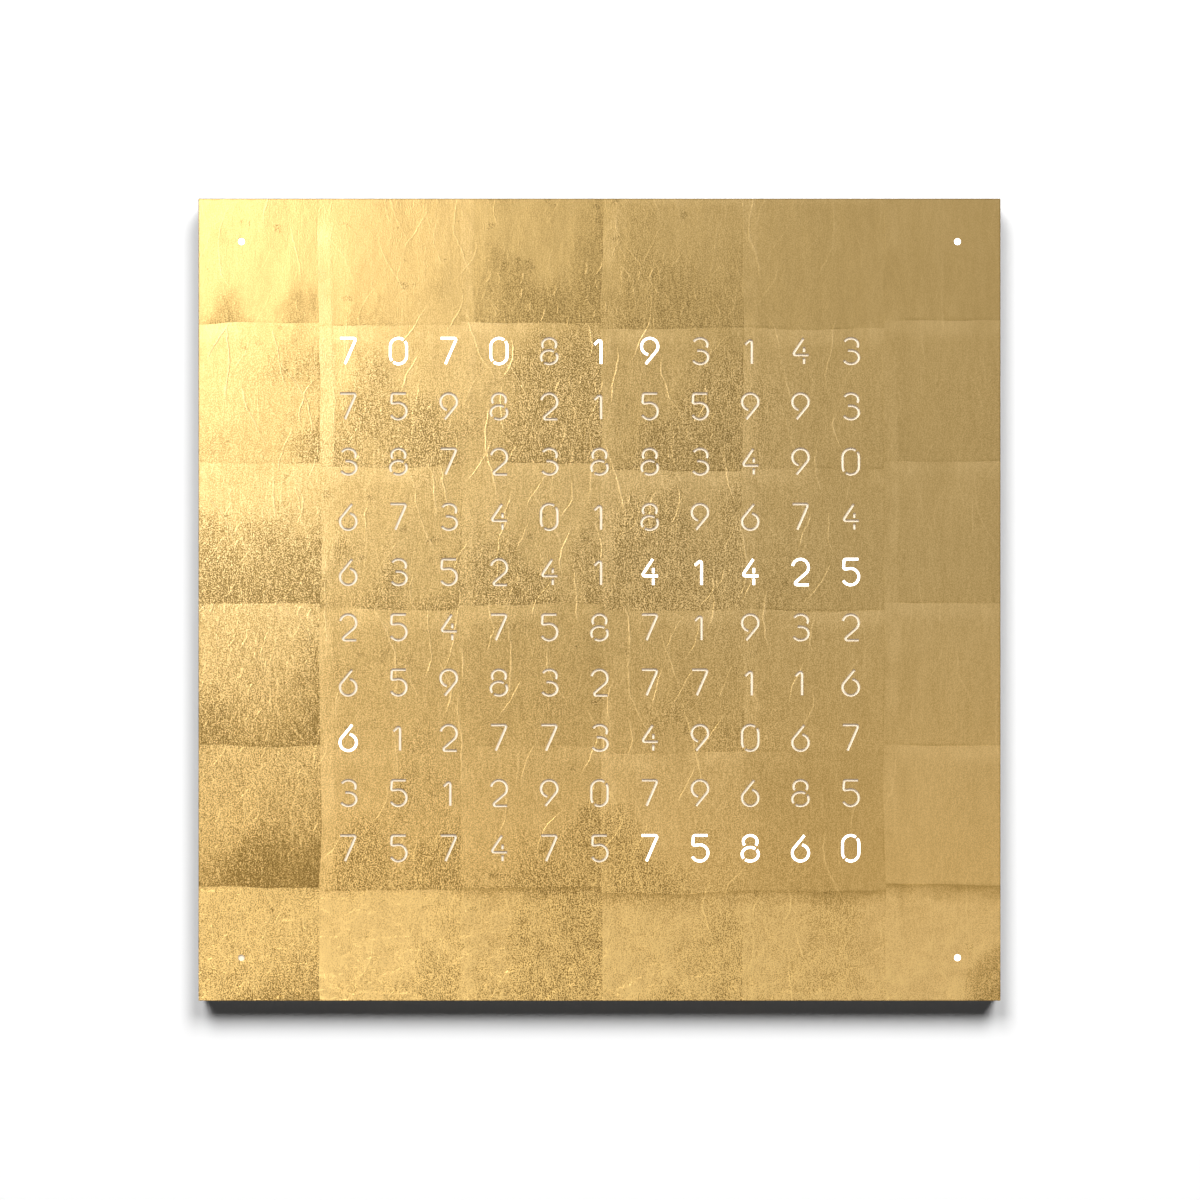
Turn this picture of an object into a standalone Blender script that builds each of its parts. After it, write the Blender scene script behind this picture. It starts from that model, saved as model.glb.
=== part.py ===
"""Word clock for a wall: a pierced steel cover held by magnets on a milled board housing.

Metres, +Z up. The dial faces -Y and X runs to the reader's right.
The origin is the centre of the housing's back, which lies against the wall.
"""

import math

import bmesh
import bpy
from mathutils import Matrix, Vector

# Whole clock
CLOCK_SIDE = 0.450
CLOCK_DEPTH = 0.020
FIT = 0.0003
OVERRUN = 0.001

# Dial: characters in columns and rows, one light near each corner
COLUMNS = 11
ROWS = 10
DIAL_FROM_SIDE = 0.0699
DIAL_FROM_TOP = 0.0700
CORNER_LIGHT_INSET = 0.0241
CORNER_LIGHT_RADIUS = 0.00185

# Front cover
COVER_THICKNESS = 0.0010
COVER_EDGE_BREAK = 0.0002
STUD_RADIUS = 0.0025
STUD_LENGTH = 0.0080
STUD_TIP_BREAK = 0.0008
STUD_FROM_EDGE = 0.033

# Opal sheet and discs on the cover's back
DIFFUSER_THICKNESS = 0.0010
DIFFUSER_CLEARANCE = 0.0015
CORNER_DIFFUSER_RADIUS = 0.0060

# Housing
HOUSING_INSET = 0.0010
HOUSING_EDGE_BREAK = 0.0008
BACK_WALL = 0.0062
PANEL_MARGIN = 0.0039
MILLING_RADIUS = 0.0050

# LED board and light grid
BOARD_THICKNESS = 0.0016
LED_SIDE = 0.0050
LED_HEIGHT = 0.0014
CELL_WALL_FRONT = 0.0014
CELL_WALL_BACK = 0.0040
GRID_CORNER_CUT = 0.0060

# Small boards and the flat leads that feed them
SMALL_BOARD_THICKNESS = 0.0012
CORNER_BOARD_RADIUS = 0.0090
CORNER_POCKET_CLEARANCE = 0.0010
LEAD_WIDTH = 0.0038
LEAD_THICKNESS = 0.0012
CHANNEL_CLEARANCE = 0.0011
LEAD_ON_BOARD = 0.0020

# Magnets
MAGNET_RADIUS = 0.0075
MAGNET_THICKNESS = 0.0040
MAGNET_FROM_EDGE = 0.033
MAGNET_FROM_CORNER = 0.075

# Light sensor at the top edge
SENSOR_BOARD_WIDTH = 0.0140
SENSOR_BOARD_HEIGHT = 0.0120
SENSOR_WIDTH = 0.0040
SENSOR_LENGTH = 0.0030
SENSOR_HEIGHT = 0.0026
SENSOR_BOARD_FROM_EDGE = 0.0220
GUIDE_RADIUS = 0.0015
GUIDE_IN_POCKET = 0.0045

# Electronics bay in the back
BAY_WIDTH = 0.240
BAY_RIM = 0.01055
BAY_LEDGE = 0.0280
REAR_COVER_RECESS = 0.0020
REAR_COVER_THICKNESS = 0.0015
REAR_COVER_LAP_X = 0.0080
REAR_COVER_LAP_Z = 0.0050
COMPONENT_SPACE = 0.0059
MAIN_BOARD_END_ROOM = 0.0200
MAIN_BOARD_EDGE_ROOM = 0.0030

# Ribbon cable between the two boards
RIBBON_WIDTH = 0.0200
RIBBON_THICKNESS = 0.0009
HEADER_WIDTH = 0.0230
HEADER_LENGTH = 0.0060
PANEL_HEADER_FROM_EDGE = 0.0120
GROOVE_CLEARANCE = 0.0010

# Buttons and their switches
BUTTON_PITCH = 0.0180
BUTTON_RADIUS = 0.0045
BUTTON_PROUD = 0.0015
BUTTON_TRAVEL = 0.0008
BUTTON_DISH = 0.0003
COLLAR_RADIUS = 0.0060
COLLAR_THICKNESS = 0.0013
STEM_RADIUS = 0.0016
STEM_REACH = 0.0009
SWITCH_SIDE = 0.0073
BUTTON_ROW_SHARE = -0.70
BUTTON_ROW_DROP = 0.0045

# Parts on the main board. Their places along it are shares of its half width.
CONTROLLER_LENGTH = 0.0180
CONTROLLER_WIDTH = 0.0075
CONTROLLER_HEIGHT = 0.0023
CONTROLLER_LEGS = 8
LEG_PITCH = 0.0020
LEG_WIDTH = 0.0008
LEG_REACH = 0.0014
LEG_THICKNESS = 0.0006
CONTROLLER_SHARE = -0.06
CONTROLLER_DROP = 0.0060
CELL_RADIUS = 0.0100
CELL_THICKNESS = 0.0032
HOLDER_WALL = 0.0018
HOLDER_FLOOR = 0.0008
HOLDER_LIP = 0.0004
HOLDER_SLOT_WIDTH = 0.0100
HOLDER_SHARE = 0.38
CAPACITOR_RADIUS = 0.0032
CAPACITOR_HEIGHT = 0.0052
CAPACITOR_SHARE = 0.61
CAPACITOR_SPREAD = 0.0100
REGULATOR_WIDTH = 0.0090
REGULATOR_LENGTH = 0.0100
REGULATOR_HEIGHT = 0.0030
REGULATOR_SHARE = 0.16
BOARD_SINK = 0.0004

# DC inlet and the channel that its cable leaves by
INLET_SHARE = 0.80
INLET_WIDTH = 0.0100
INLET_HEIGHT = 0.0090
INLET_LENGTH = 0.0140
INLET_FROM_EDGE = 0.0200
INLET_BORE_RADIUS = 0.0030
INLET_BORE_DEPTH = 0.0095
INLET_PIN_RADIUS = 0.0010
INLET_PIN_SET_BACK = 0.0010
INLET_EAR_WIDTH = 0.0200
INLET_EAR_LENGTH = 0.0040
INLET_EAR_THICKNESS = 0.0012
CHANNEL_WIDTH = 0.0140

# Screws
COVER_SCREW_RADIUS = 0.0014
COVER_SCREW_HEAD_RADIUS = 0.0027
COVER_SCREW_LENGTH = 0.0090
COVER_SCREW_FROM_EDGE = 0.0120
BOARD_SCREW_RADIUS = 0.0013
BOARD_SCREW_HEAD_RADIUS = 0.0025
BOARD_SCREW_HEAD_HEIGHT = 0.0016
BOARD_SCREW_FROM_END = 0.0030
BOARD_SCREW_FROM_EDGE = 0.0050
BOARD_SCREW_SKIN = 0.0030
HANGER_SCREW_RADIUS = 0.0016
HANGER_SCREW_HEAD_RADIUS = 0.0033
HANGER_SCREW_LENGTH = 0.0100

# Keyhole hanger plates
HANGER_FROM_SIDE = 0.0750
HANGER_FROM_EDGE = 0.0400
HANGER_WIDTH = 0.0600
HANGER_HEIGHT = 0.0240
HANGER_THICKNESS = 0.0020
HANGER_RECESS = 0.0003
HANGER_CORNER_RADIUS = 0.0040
HANGER_SCREW_SPACING = 0.0440
KEYHOLE_RADIUS = 0.0045
KEYHOLE_SLOT_RADIUS = 0.0023
KEYHOLE_RISE = 0.0090
KEYHOLE_DROP = 0.0040
WALL_SCREW_ROOM = 0.0070
WALL_SCREW_DEPTH = 0.0060

# How finely round shapes are drawn
ROUND_SIDES = 20
SMALL_SIDES = 12
CORNER_STEPS = 4
SHARP_DEGREES = 35

# Levels along Y, worked out from the named sizes
COVER_FRONT = -CLOCK_DEPTH
COVER_BACK = COVER_FRONT + COVER_THICKNESS
HOUSING_FRONT = COVER_BACK + FIT
DIFFUSER_BACK = COVER_BACK + FIT + DIFFUSER_THICKNESS
PANEL_FLOOR = -BACK_WALL
LED_BOARD_BACK = PANEL_FLOOR - FIT
LED_BOARD_FRONT = LED_BOARD_BACK - BOARD_THICKNESS
GRID_BACK = LED_BOARD_FRONT - FIT
GRID_FRONT = DIFFUSER_BACK + FIT
WIRING_FLOOR = LED_BOARD_FRONT
SMALL_BOARD_BACK = WIRING_FLOOR - FIT
SMALL_BOARD_FRONT = SMALL_BOARD_BACK - SMALL_BOARD_THICKNESS
REAR_COVER_BACK = -REAR_COVER_RECESS
REAR_COVER_FRONT = REAR_COVER_BACK - REAR_COVER_THICKNESS
REBATE_FLOOR = REAR_COVER_FRONT - FIT
MAIN_BOARD_BACK = REAR_COVER_FRONT - COMPONENT_SPACE
MAIN_BOARD_FRONT = MAIN_BOARD_BACK - BOARD_THICKNESS
LEDGE_FLOOR = MAIN_BOARD_FRONT - FIT
PANEL_HEADER_BACK = REBATE_FLOOR
RIBBON_LEVEL = (LED_BOARD_BACK + PANEL_HEADER_BACK) / 2
BOARD_SCREW_TIP = HOUSING_FRONT + BOARD_SCREW_SKIN + FIT
COLLAR_BACK = REAR_COVER_FRONT - FIT
COLLAR_FRONT = COLLAR_BACK - COLLAR_THICKNESS
SWITCH_BACK = COLLAR_FRONT - BUTTON_TRAVEL - FIT
HANGER_BACK = -HANGER_RECESS
HANGER_FRONT = HANGER_BACK - HANGER_THICKNESS
GUIDE_LEVEL = SMALL_BOARD_FRONT - FIT - GUIDE_RADIUS
INLET_BACK = REAR_COVER_FRONT - FIT
INLET_FRONT = INLET_BACK - INLET_HEIGHT
BAY_FLOOR = min(INLET_FRONT, LEDGE_FLOOR) - FIT

# Places in the plane of the dial, from the centre
COVER_HALF = CLOCK_SIDE / 2
HOUSING_HALF = COVER_HALF - HOUSING_INSET
CORNER = COVER_HALF - CORNER_LIGHT_INSET
COLUMN_PITCH = (CLOCK_SIDE - 2 * DIAL_FROM_SIDE) / COLUMNS
ROW_PITCH = (CLOCK_SIDE - 2 * DIAL_FROM_TOP) / ROWS
PANEL_HALF_X = COLUMNS * COLUMN_PITCH / 2 + PANEL_MARGIN
PANEL_HALF_Z = ROWS * ROW_PITCH / 2 + PANEL_MARGIN
BAY_Z = -(PANEL_HALF_Z + HOUSING_HALF) / 2
BAY_HEIGHT = HOUSING_HALF - PANEL_HALF_Z - 2 * BAY_RIM
BAY_TOP = BAY_Z + BAY_HEIGHT / 2
BAY_BOTTOM = BAY_Z - BAY_HEIGHT / 2
MAIN_BOARD_WIDTH = BAY_WIDTH - 2 * MAIN_BOARD_END_ROOM
MAIN_BOARD_HEIGHT = BAY_HEIGHT - 2 * MAIN_BOARD_EDGE_ROOM
MAIN_BOARD_TOP = BAY_Z + MAIN_BOARD_HEIGHT / 2
MAIN_BOARD_BOTTOM = BAY_Z - MAIN_BOARD_HEIGHT / 2
REAR_COVER_WIDTH = BAY_WIDTH + 2 * REAR_COVER_LAP_X
REAR_COVER_HEIGHT = BAY_HEIGHT + 2 * REAR_COVER_LAP_Z
PANEL_HEADER_TOP = -PANEL_HALF_Z + FIT + PANEL_HEADER_FROM_EDGE + HEADER_LENGTH
BUTTON_ROW_X = BUTTON_ROW_SHARE * MAIN_BOARD_WIDTH / 2
CONTROLLER_X = CONTROLLER_SHARE * MAIN_BOARD_WIDTH / 2
REGULATOR_X = REGULATOR_SHARE * MAIN_BOARD_WIDTH / 2
HOLDER_X = HOLDER_SHARE * MAIN_BOARD_WIDTH / 2
CAPACITOR_X = CAPACITOR_SHARE * MAIN_BOARD_WIDTH / 2
INLET_X = INLET_SHARE * MAIN_BOARD_WIDTH / 2
INLET_MOUTH = -HOUSING_HALF + INLET_FROM_EDGE
SENSOR_BOARD_TOP = HOUSING_HALF - SENSOR_BOARD_FROM_EDGE
POCKET_TOP = SENSOR_BOARD_TOP + FIT
BUTTON_Z = BAY_Z - BUTTON_ROW_DROP
HANGER_X = COVER_HALF - HANGER_FROM_SIDE
HANGER_Z = COVER_HALF - HANGER_FROM_EDGE
KEYHOLE_Z = HANGER_Z - KEYHOLE_DROP
BUTTON_NAMES = ("hour", "minute", "mode")
CORNER_NAMES = {
    "top_left": (-1, 1),
    "top_right": (1, 1),
    "bottom_left": (-1, -1),
    "bottom_right": (1, -1),
}


def clear_scene():
    for thing in list(bpy.data.objects):
        bpy.data.objects.remove(thing)


def material(name, colour, roughness, metallic=0.0, alpha=1.0):
    """A Principled material, made once and shared by name."""
    made = bpy.data.materials.get(name)
    if made:
        return made
    made = bpy.data.materials.new(name)
    made.use_nodes = True
    shader = made.node_tree.nodes["Principled BSDF"]
    shader.inputs["Base Color"].default_value = (*colour, 1.0)
    shader.inputs["Roughness"].default_value = roughness
    shader.inputs["Metallic"].default_value = metallic
    shader.inputs["Alpha"].default_value = alpha
    return made


def gold_leaf():
    return material("gold leaf on steel", (0.62, 0.45, 0.19), 0.35, 0.9)


def opal():
    return material("opal sheet", (0.93, 0.86, 0.80), 0.5)


def lacquer():
    return material("lacquered board", (0.05, 0.05, 0.05), 0.4)


def white_moulding():
    return material("white moulding", (0.85, 0.85, 0.83), 0.5)


def circuit_board():
    return material("circuit board", (0.02, 0.10, 0.04), 0.45)


def plain_steel():
    return material("plain steel", (0.55, 0.55, 0.56), 0.35, 1.0)


def dark_steel():
    return material("coated steel", (0.06, 0.06, 0.065), 0.45, 0.4)


def nickel():
    return material("nickel plate", (0.66, 0.64, 0.60), 0.22, 1.0)


def black_moulding():
    return material("black moulding", (0.02, 0.02, 0.02), 0.4)


def grey_flex():
    return material("grey cable", (0.35, 0.35, 0.37), 0.55)


def clear_acrylic():
    return material("clear acrylic", (0.95, 0.97, 0.97), 0.05, 0.0, 0.4)


def place(name, mesh, finish, at=(0, 0, 0)):
    """Puts a mesh in the scene as one named object."""
    piece = bpy.data.objects.new(name, mesh)
    piece.location = at
    if finish:
        mesh.materials.append(finish)
    bpy.context.scene.collection.objects.link(piece)
    return piece


def block(name, low, high, finish=None, edge_break=0.0):
    """A rectangular block between two corners, its edges broken by a small chamfer if one is given."""
    low, high = Vector(low), Vector(high)
    shape = bmesh.new()
    bmesh.ops.create_cube(shape, size=1.0)
    bmesh.ops.scale(shape, vec=high - low, verts=shape.verts)
    if edge_break:
        bmesh.ops.bevel(shape, geom=shape.edges[:], offset=edge_break, segments=1, affect="EDGES")
    mesh = bpy.data.meshes.new(name)
    shape.to_mesh(mesh)
    shape.free()
    return place(name, mesh, finish, (low + high) / 2)


def slab(name, outline, front, back, finish=None, at=(0, 0)):
    """An outline in X and Z, listed anticlockwise as the reader sees it, extruded along Y."""
    shape = bmesh.new()
    corners = [shape.verts.new((x, 0, z)) for x, z in outline]
    face = shape.faces.new(corners)
    pulled = bmesh.ops.extrude_face_region(shape, geom=[face])["geom"]
    moved = [part for part in pulled if isinstance(part, bmesh.types.BMVert)]
    bmesh.ops.translate(shape, vec=(0, back - front, 0), verts=moved)
    bmesh.ops.recalc_face_normals(shape, faces=shape.faces)
    mesh = bpy.data.meshes.new(name)
    shape.to_mesh(mesh)
    shape.free()
    return place(name, mesh, finish, (at[0], front, at[1]))


def rounded(width, height, radius):
    """The outline of a rectangle with round corners, about its centre."""
    outline = []
    for number in range(4):
        start = math.pi / 2 * number
        middle = start + math.pi / 4
        centre_x = math.copysign(width / 2 - radius, math.cos(middle))
        centre_z = math.copysign(height / 2 - radius, math.sin(middle))
        for step in range(CORNER_STEPS + 1):
            angle = start + math.pi / 2 * step / CORNER_STEPS
            outline.append((centre_x + radius * math.cos(angle), centre_z + radius * math.sin(angle)))
    return outline


def clipped(half_x, half_z, cut):
    """The outline of a rectangle with its corners cut off straight, about its centre."""
    return [
        (half_x, -half_z + cut),
        (half_x, half_z - cut),
        (half_x - cut, half_z),
        (-half_x + cut, half_z),
        (-half_x, half_z - cut),
        (-half_x, -half_z + cut),
        (-half_x + cut, -half_z),
        (half_x - cut, -half_z),
    ]


def turned(name, profile, at, finish=None, sides=ROUND_SIDES, axis="Y"):
    """A profile of (distance along the axis, radius) points, turned about the Y or the Z axis."""
    shape = bmesh.new()
    rings = []
    for along, radius in profile:
        count = sides if radius else 1
        ring = []
        for number in range(count):
            angle = 2 * math.pi * number / sides
            ring.append(shape.verts.new((radius * math.cos(angle), along, radius * math.sin(angle))))
        rings.append(ring)
    for first, second in zip(rings, rings[1:]):
        for number in range(sides):
            after = (number + 1) % sides
            corners = [first[number % len(first)], first[after % len(first)]]
            corners += [second[after % len(second)], second[number % len(second)]]
            shape.faces.new(list(dict.fromkeys(corners)))
    bmesh.ops.recalc_face_normals(shape, faces=shape.faces)
    if axis == "Z":
        upright = Matrix.Rotation(math.pi / 2, 3, "X")
        bmesh.ops.rotate(shape, cent=(0, 0, 0), matrix=upright, verts=shape.verts)
    mesh = bpy.data.meshes.new(name)
    shape.to_mesh(mesh)
    shape.free()
    mesh.shade_smooth()
    mesh.set_sharp_from_angle(angle=math.radians(SHARP_DEGREES))
    return place(name, mesh, finish, at)


def disc(name, front, back, radius, at, finish=None, sides=ROUND_SIDES):
    """A round plate or a round cutter between two levels along Y, centred at (x, z)."""
    profile = [(front, 0), (front, radius), (back, radius), (back, 0)]
    return turned(name, profile, (at[0], 0, at[1]), finish, sides)


def round_cutter(name, front, back, radius, at):
    """The cutter for a hole that a round part of this radius goes in, with room all round it."""
    return disc(name, front, back, radius + FIT, at, None, SMALL_SIDES)


def combine(piece, others, operation):
    """Cuts the other shapes from the piece, or joins them to it, and keeps them as hidden guides."""
    group = bpy.data.collections.new(f"{piece.name} {operation.lower()}")
    bpy.context.scene.collection.children.link(group)
    for other in others:
        bpy.context.scene.collection.objects.unlink(other)
        group.objects.link(other)
        other.hide_render = True
        other.display_type = "WIRE"
    change = piece.modifiers.new(operation.lower(), "BOOLEAN")
    change.operation = operation
    change.operand_type = "COLLECTION"
    change.collection = group
    change.solver = "EXACT"
    return piece


def cut(piece, cutters):
    return combine(piece, cutters, "DIFFERENCE")


def join(piece, additions):
    return combine(piece, additions, "UNION")


def joined_mesh(name, shapes):
    """One guide made of many separate closed shapes."""
    whole = bmesh.new()
    for shape in shapes:
        whole.from_mesh(shape)
    mesh = bpy.data.meshes.new(name)
    whole.to_mesh(mesh)
    whole.free()
    return place(name, mesh, None)


def cell_centres():
    """The centre of each character's place, row by row from the top."""
    for row in range(ROWS):
        for column in range(COLUMNS):
            x = (column - (COLUMNS - 1) / 2) * COLUMN_PITCH
            z = ((ROWS - 1) / 2 - row) * ROW_PITCH
            yield x, z


def frustum_mesh(centre, front, back, front_size, back_size):
    """A four-sided tapered plug between two levels, wide at one end."""
    shape = bmesh.new()
    ends = []
    for level, (width, height) in ((front, front_size), (back, back_size)):
        signs = ((-1, -1), (1, -1), (1, 1), (-1, 1))
        ends.append([
            shape.verts.new((centre[0] + sx * width / 2, level, centre[1] + sz * height / 2))
            for sx, sz in signs
        ])
    shape.faces.new(ends[0])
    shape.faces.new(ends[1][::-1])
    for number in range(4):
        after = (number + 1) % 4
        shape.faces.new((ends[0][after], ends[0][number], ends[1][number], ends[1][after]))
    bmesh.ops.recalc_face_normals(shape, faces=shape.faces)
    mesh = bpy.data.meshes.new("plug")
    shape.to_mesh(mesh)
    shape.free()
    return mesh


def ride(piece, carrier):
    """Parents a piece to the empty that carries it, and keeps the piece where it is."""
    piece.parent = carrier
    piece.matrix_parent_inverse = Matrix.Translation(carrier.location).inverted()


# Front cover and what is fixed to its back. They come off together, straight forwards.


def front_cover(carrier):
    low = (-COVER_HALF, COVER_FRONT, -COVER_HALF)
    high = (COVER_HALF, COVER_BACK, COVER_HALF)
    cover = block("front_cover", low, high, gold_leaf(), COVER_EDGE_BREAK)
    holes = []
    for corner, (side_x, side_z) in CORNER_NAMES.items():
        at = (side_x * CORNER, side_z * CORNER)
        front, back = COVER_FRONT - OVERRUN, COVER_BACK + OVERRUN
        holes.append(disc(f"hole {corner}", front, back, CORNER_LIGHT_RADIUS, at))
    cut(cover, holes)
    ride(cover, carrier)


def diffusers(carrier):
    width = 2 * (PANEL_HALF_X - DIFFUSER_CLEARANCE)
    height = 2 * (PANEL_HALF_Z - DIFFUSER_CLEARANCE)
    outline = rounded(width, height, MILLING_RADIUS)
    ride(slab("diffuser_sheet", outline, COVER_BACK + FIT, DIFFUSER_BACK, opal()), carrier)
    for corner, (side_x, side_z) in CORNER_NAMES.items():
        at = (side_x * CORNER, side_z * CORNER)
        name = f"corner_diffuser_{corner}"
        small = disc(name, COVER_BACK + FIT, DIFFUSER_BACK, CORNER_DIFFUSER_RADIUS, at, opal())
        ride(small, carrier)


def stud_places():
    reach = COVER_HALF - STUD_FROM_EDGE
    return {"left": (-reach, 0), "right": (reach, 0)}


def locating_studs(carrier):
    for side, at in stud_places().items():
        root = COVER_BACK + FIT
        tip = root + STUD_LENGTH
        profile = [
            (root, 0),
            (root, STUD_RADIUS),
            (tip - STUD_TIP_BREAK, STUD_RADIUS),
            (tip, STUD_RADIUS - STUD_TIP_BREAK),
            (tip, 0),
        ]
        place_at = (at[0], 0, at[1])
        ride(turned(f"locating_stud_{side}", profile, place_at, plain_steel(), SMALL_SIDES), carrier)


# Housing, milled from one board


def magnet_places():
    out = COVER_HALF - MAGNET_FROM_EDGE
    along = COVER_HALF - MAGNET_FROM_CORNER
    places = {}
    for side, sign in (("left", -1), ("right", 1)):
        places[f"top_{side}"] = (sign * along, out)
        places[f"bottom_{side}"] = (sign * along, -out)
        places[f"{side}_upper"] = (sign * out, along)
        places[f"{side}_lower"] = (sign * out, -along)
    return places


def lead_ends():
    """For each small board: where its flat lead starts, and where it ends on the LED board."""
    ends = {}
    for corner, (side_x, side_z) in CORNER_NAMES.items():
        outward = Vector((side_x, 0, side_z)).normalized()
        board = Vector((side_x * CORNER, 0, side_z * CORNER))
        start = board - outward * (CORNER_BOARD_RADIUS + FIT)
        cut_corner = (side_x * (PANEL_HALF_X - FIT), 0, side_z * (PANEL_HALF_Z - FIT))
        cut_middle = Vector(cut_corner).dot(outward) - GRID_CORNER_CUT / math.sqrt(2)
        stop = board + outward * (cut_middle + 2 * FIT - board.dot(outward))
        ends[f"corner_lead_{corner}"] = (start, stop)
    top = Vector((0, 0, SENSOR_BOARD_TOP - SENSOR_BOARD_HEIGHT - FIT))
    bottom = Vector((0, 0, PANEL_HALF_Z - FIT - LEAD_ON_BOARD))
    ends["sensor_lead"] = (top, bottom)
    return ends


def strip(name, start, stop, width, front, back, finish=None):
    """A flat bar along a line in the plane of the dial."""
    along = (stop - start).normalized()
    across = Vector((-along.z, 0, along.x)) * width / 2
    outline = [start - across, stop - across, stop + across, start + across]
    return slab(name, [(point.x, point.z) for point in outline], front, back, finish)


def front_cutters():
    """What is milled from the front: the panel's pocket, and pockets, channels and bores in its margin."""
    front = HOUSING_FRONT - OVERRUN
    outline = rounded(2 * PANEL_HALF_X, 2 * PANEL_HALF_Z, MILLING_RADIUS)
    cutters = [slab("panel pocket", outline, front, PANEL_FLOOR)]
    pocket_radius = CORNER_BOARD_RADIUS + CORNER_POCKET_CLEARANCE
    for corner, (side_x, side_z) in CORNER_NAMES.items():
        at = (side_x * CORNER, side_z * CORNER)
        cutters.append(disc(f"corner pocket {corner}", front, WIRING_FLOOR, pocket_radius, at))
    channel_width = LEAD_WIDTH + 2 * CHANNEL_CLEARANCE
    for name, (start, stop) in lead_ends().items():
        reach = (start - stop).normalized() * 2 * MILLING_RADIUS
        ends = (start + reach / 2, stop - reach)
        cutters.append(strip(f"{name} channel", *ends, channel_width, front, WIRING_FLOOR))
    sensor_half = SENSOR_BOARD_WIDTH / 2 + FIT
    sensor_low = (-sensor_half, front, SENSOR_BOARD_TOP - SENSOR_BOARD_HEIGHT - FIT)
    cutters.append(block("sensor pocket", sensor_low, (sensor_half, WIRING_FLOOR, POCKET_TOP)))
    guide_profile = [(POCKET_TOP - OVERRUN, 0), (POCKET_TOP - OVERRUN, GUIDE_RADIUS + FIT)]
    guide_profile += [(HOUSING_HALF + OVERRUN, GUIDE_RADIUS + FIT), (HOUSING_HALF + OVERRUN, 0)]
    cutters.append(turned("guide bore", guide_profile, (0, GUIDE_LEVEL, 0), None, SMALL_SIDES, "Z"))
    for name, at in magnet_places().items():
        depth = MAGNET_THICKNESS + FIT
        cutters.append(disc(f"magnet pocket {name}", front, HOUSING_FRONT + depth, MAGNET_RADIUS + FIT, at))
    for side, at in stud_places().items():
        floor = HOUSING_FRONT + STUD_LENGTH + 2 * FIT
        cutters.append(round_cutter(f"stud bore {side}", front, floor, STUD_RADIUS, at))
    return cutters


def rear_cutters():
    """What is milled from the back: the electronics bay, its rebate and channel, and the hangers' seats."""
    back = OVERRUN
    deep_half = BAY_WIDTH / 2 - BAY_LEDGE
    outline = rounded(BAY_WIDTH, BAY_HEIGHT, MILLING_RADIUS)
    cutters = [slab("bay", outline, LEDGE_FLOOR, back, None, (0, BAY_Z))]
    deep = rounded(2 * deep_half, BAY_HEIGHT, MILLING_RADIUS)
    cutters.append(slab("deep bay", deep, BAY_FLOOR, back, None, (0, BAY_Z)))
    rebate = rounded(REAR_COVER_WIDTH + 2 * FIT, REAR_COVER_HEIGHT + 2 * FIT, MILLING_RADIUS)
    cutters.append(slab("rebate", rebate, REBATE_FLOOR, back, None, (0, BAY_Z)))
    half = CHANNEL_WIDTH / 2
    low = (INLET_X - half, BAY_FLOOR, -HOUSING_HALF - OVERRUN)
    cutters.append(block("cable channel", low, (INLET_X + half, back, BAY_BOTTOM + MILLING_RADIUS)))
    groove_half = HEADER_WIDTH / 2 + GROOVE_CLEARANCE
    groove_top = PANEL_HEADER_TOP + GROOVE_CLEARANCE
    groove_low = (-groove_half, PANEL_FLOOR - OVERRUN, BAY_TOP - MILLING_RADIUS)
    groove_back = PANEL_HEADER_BACK + FIT
    cutters.append(block("ribbon groove", groove_low, (groove_half, groove_back, groove_top)))
    for side, x in hanger_places().items():
        seat = rounded(HANGER_WIDTH + 2 * FIT, HANGER_HEIGHT + 2 * FIT, HANGER_CORNER_RADIUS + FIT)
        cutters.append(slab(f"hanger seat {side}", seat, HANGER_FRONT - FIT, back, None, (x, HANGER_Z)))
        room_height = KEYHOLE_RISE + 2 * WALL_SCREW_ROOM
        room = rounded(2 * WALL_SCREW_ROOM, room_height, MILLING_RADIUS)
        room_at = (x, KEYHOLE_Z + KEYHOLE_RISE / 2)
        room_floor = HANGER_FRONT - WALL_SCREW_DEPTH
        cutters.append(slab(f"wall screw room {side}", room, room_floor, back, None, room_at))
    for number, at in enumerate(screw_places()["rear_cover_screw"]):
        depth = REAR_COVER_BACK - COVER_SCREW_LENGTH - FIT
        cutters.append(round_cutter(f"rear cover pilot {number}", depth, back, COVER_SCREW_RADIUS, at))
    for number, at in enumerate(screw_places()["main_board_screw"]):
        floor = BOARD_SCREW_TIP - FIT
        cutters.append(round_cutter(f"main board pilot {number}", floor, back, BOARD_SCREW_RADIUS, at))
    for number, at in enumerate(screw_places()["hanger_screw"]):
        depth = HANGER_BACK - HANGER_SCREW_LENGTH - FIT
        cutters.append(round_cutter(f"hanger pilot {number}", depth, back, HANGER_SCREW_RADIUS, at))
    return cutters


def hanger_places():
    return {"left": -HANGER_X, "right": HANGER_X}


def screw_places():
    """Where each screw stands, as (x, z), listed under the name of its kind."""
    places = {"rear_cover_screw": [], "main_board_screw": [], "hanger_screw": []}
    cover_x = BAY_WIDTH / 2 + REAR_COVER_LAP_X / 2
    board_x = MAIN_BOARD_WIDTH / 2 - BOARD_SCREW_FROM_END
    cover_rise = REAR_COVER_HEIGHT / 2 - COVER_SCREW_FROM_EDGE
    board_rise = MAIN_BOARD_HEIGHT / 2 - BOARD_SCREW_FROM_EDGE
    for sign_x in (-1, 1):
        for sign_z in (-1, 1):
            places["rear_cover_screw"].append((sign_x * cover_x, BAY_Z + sign_z * cover_rise))
            places["main_board_screw"].append((sign_x * board_x, BAY_Z + sign_z * board_rise))
    for x in hanger_places().values():
        for sign_x in (-1, 1):
            places["hanger_screw"].append((x + sign_x * HANGER_SCREW_SPACING / 2, HANGER_Z))
    return places


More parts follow.
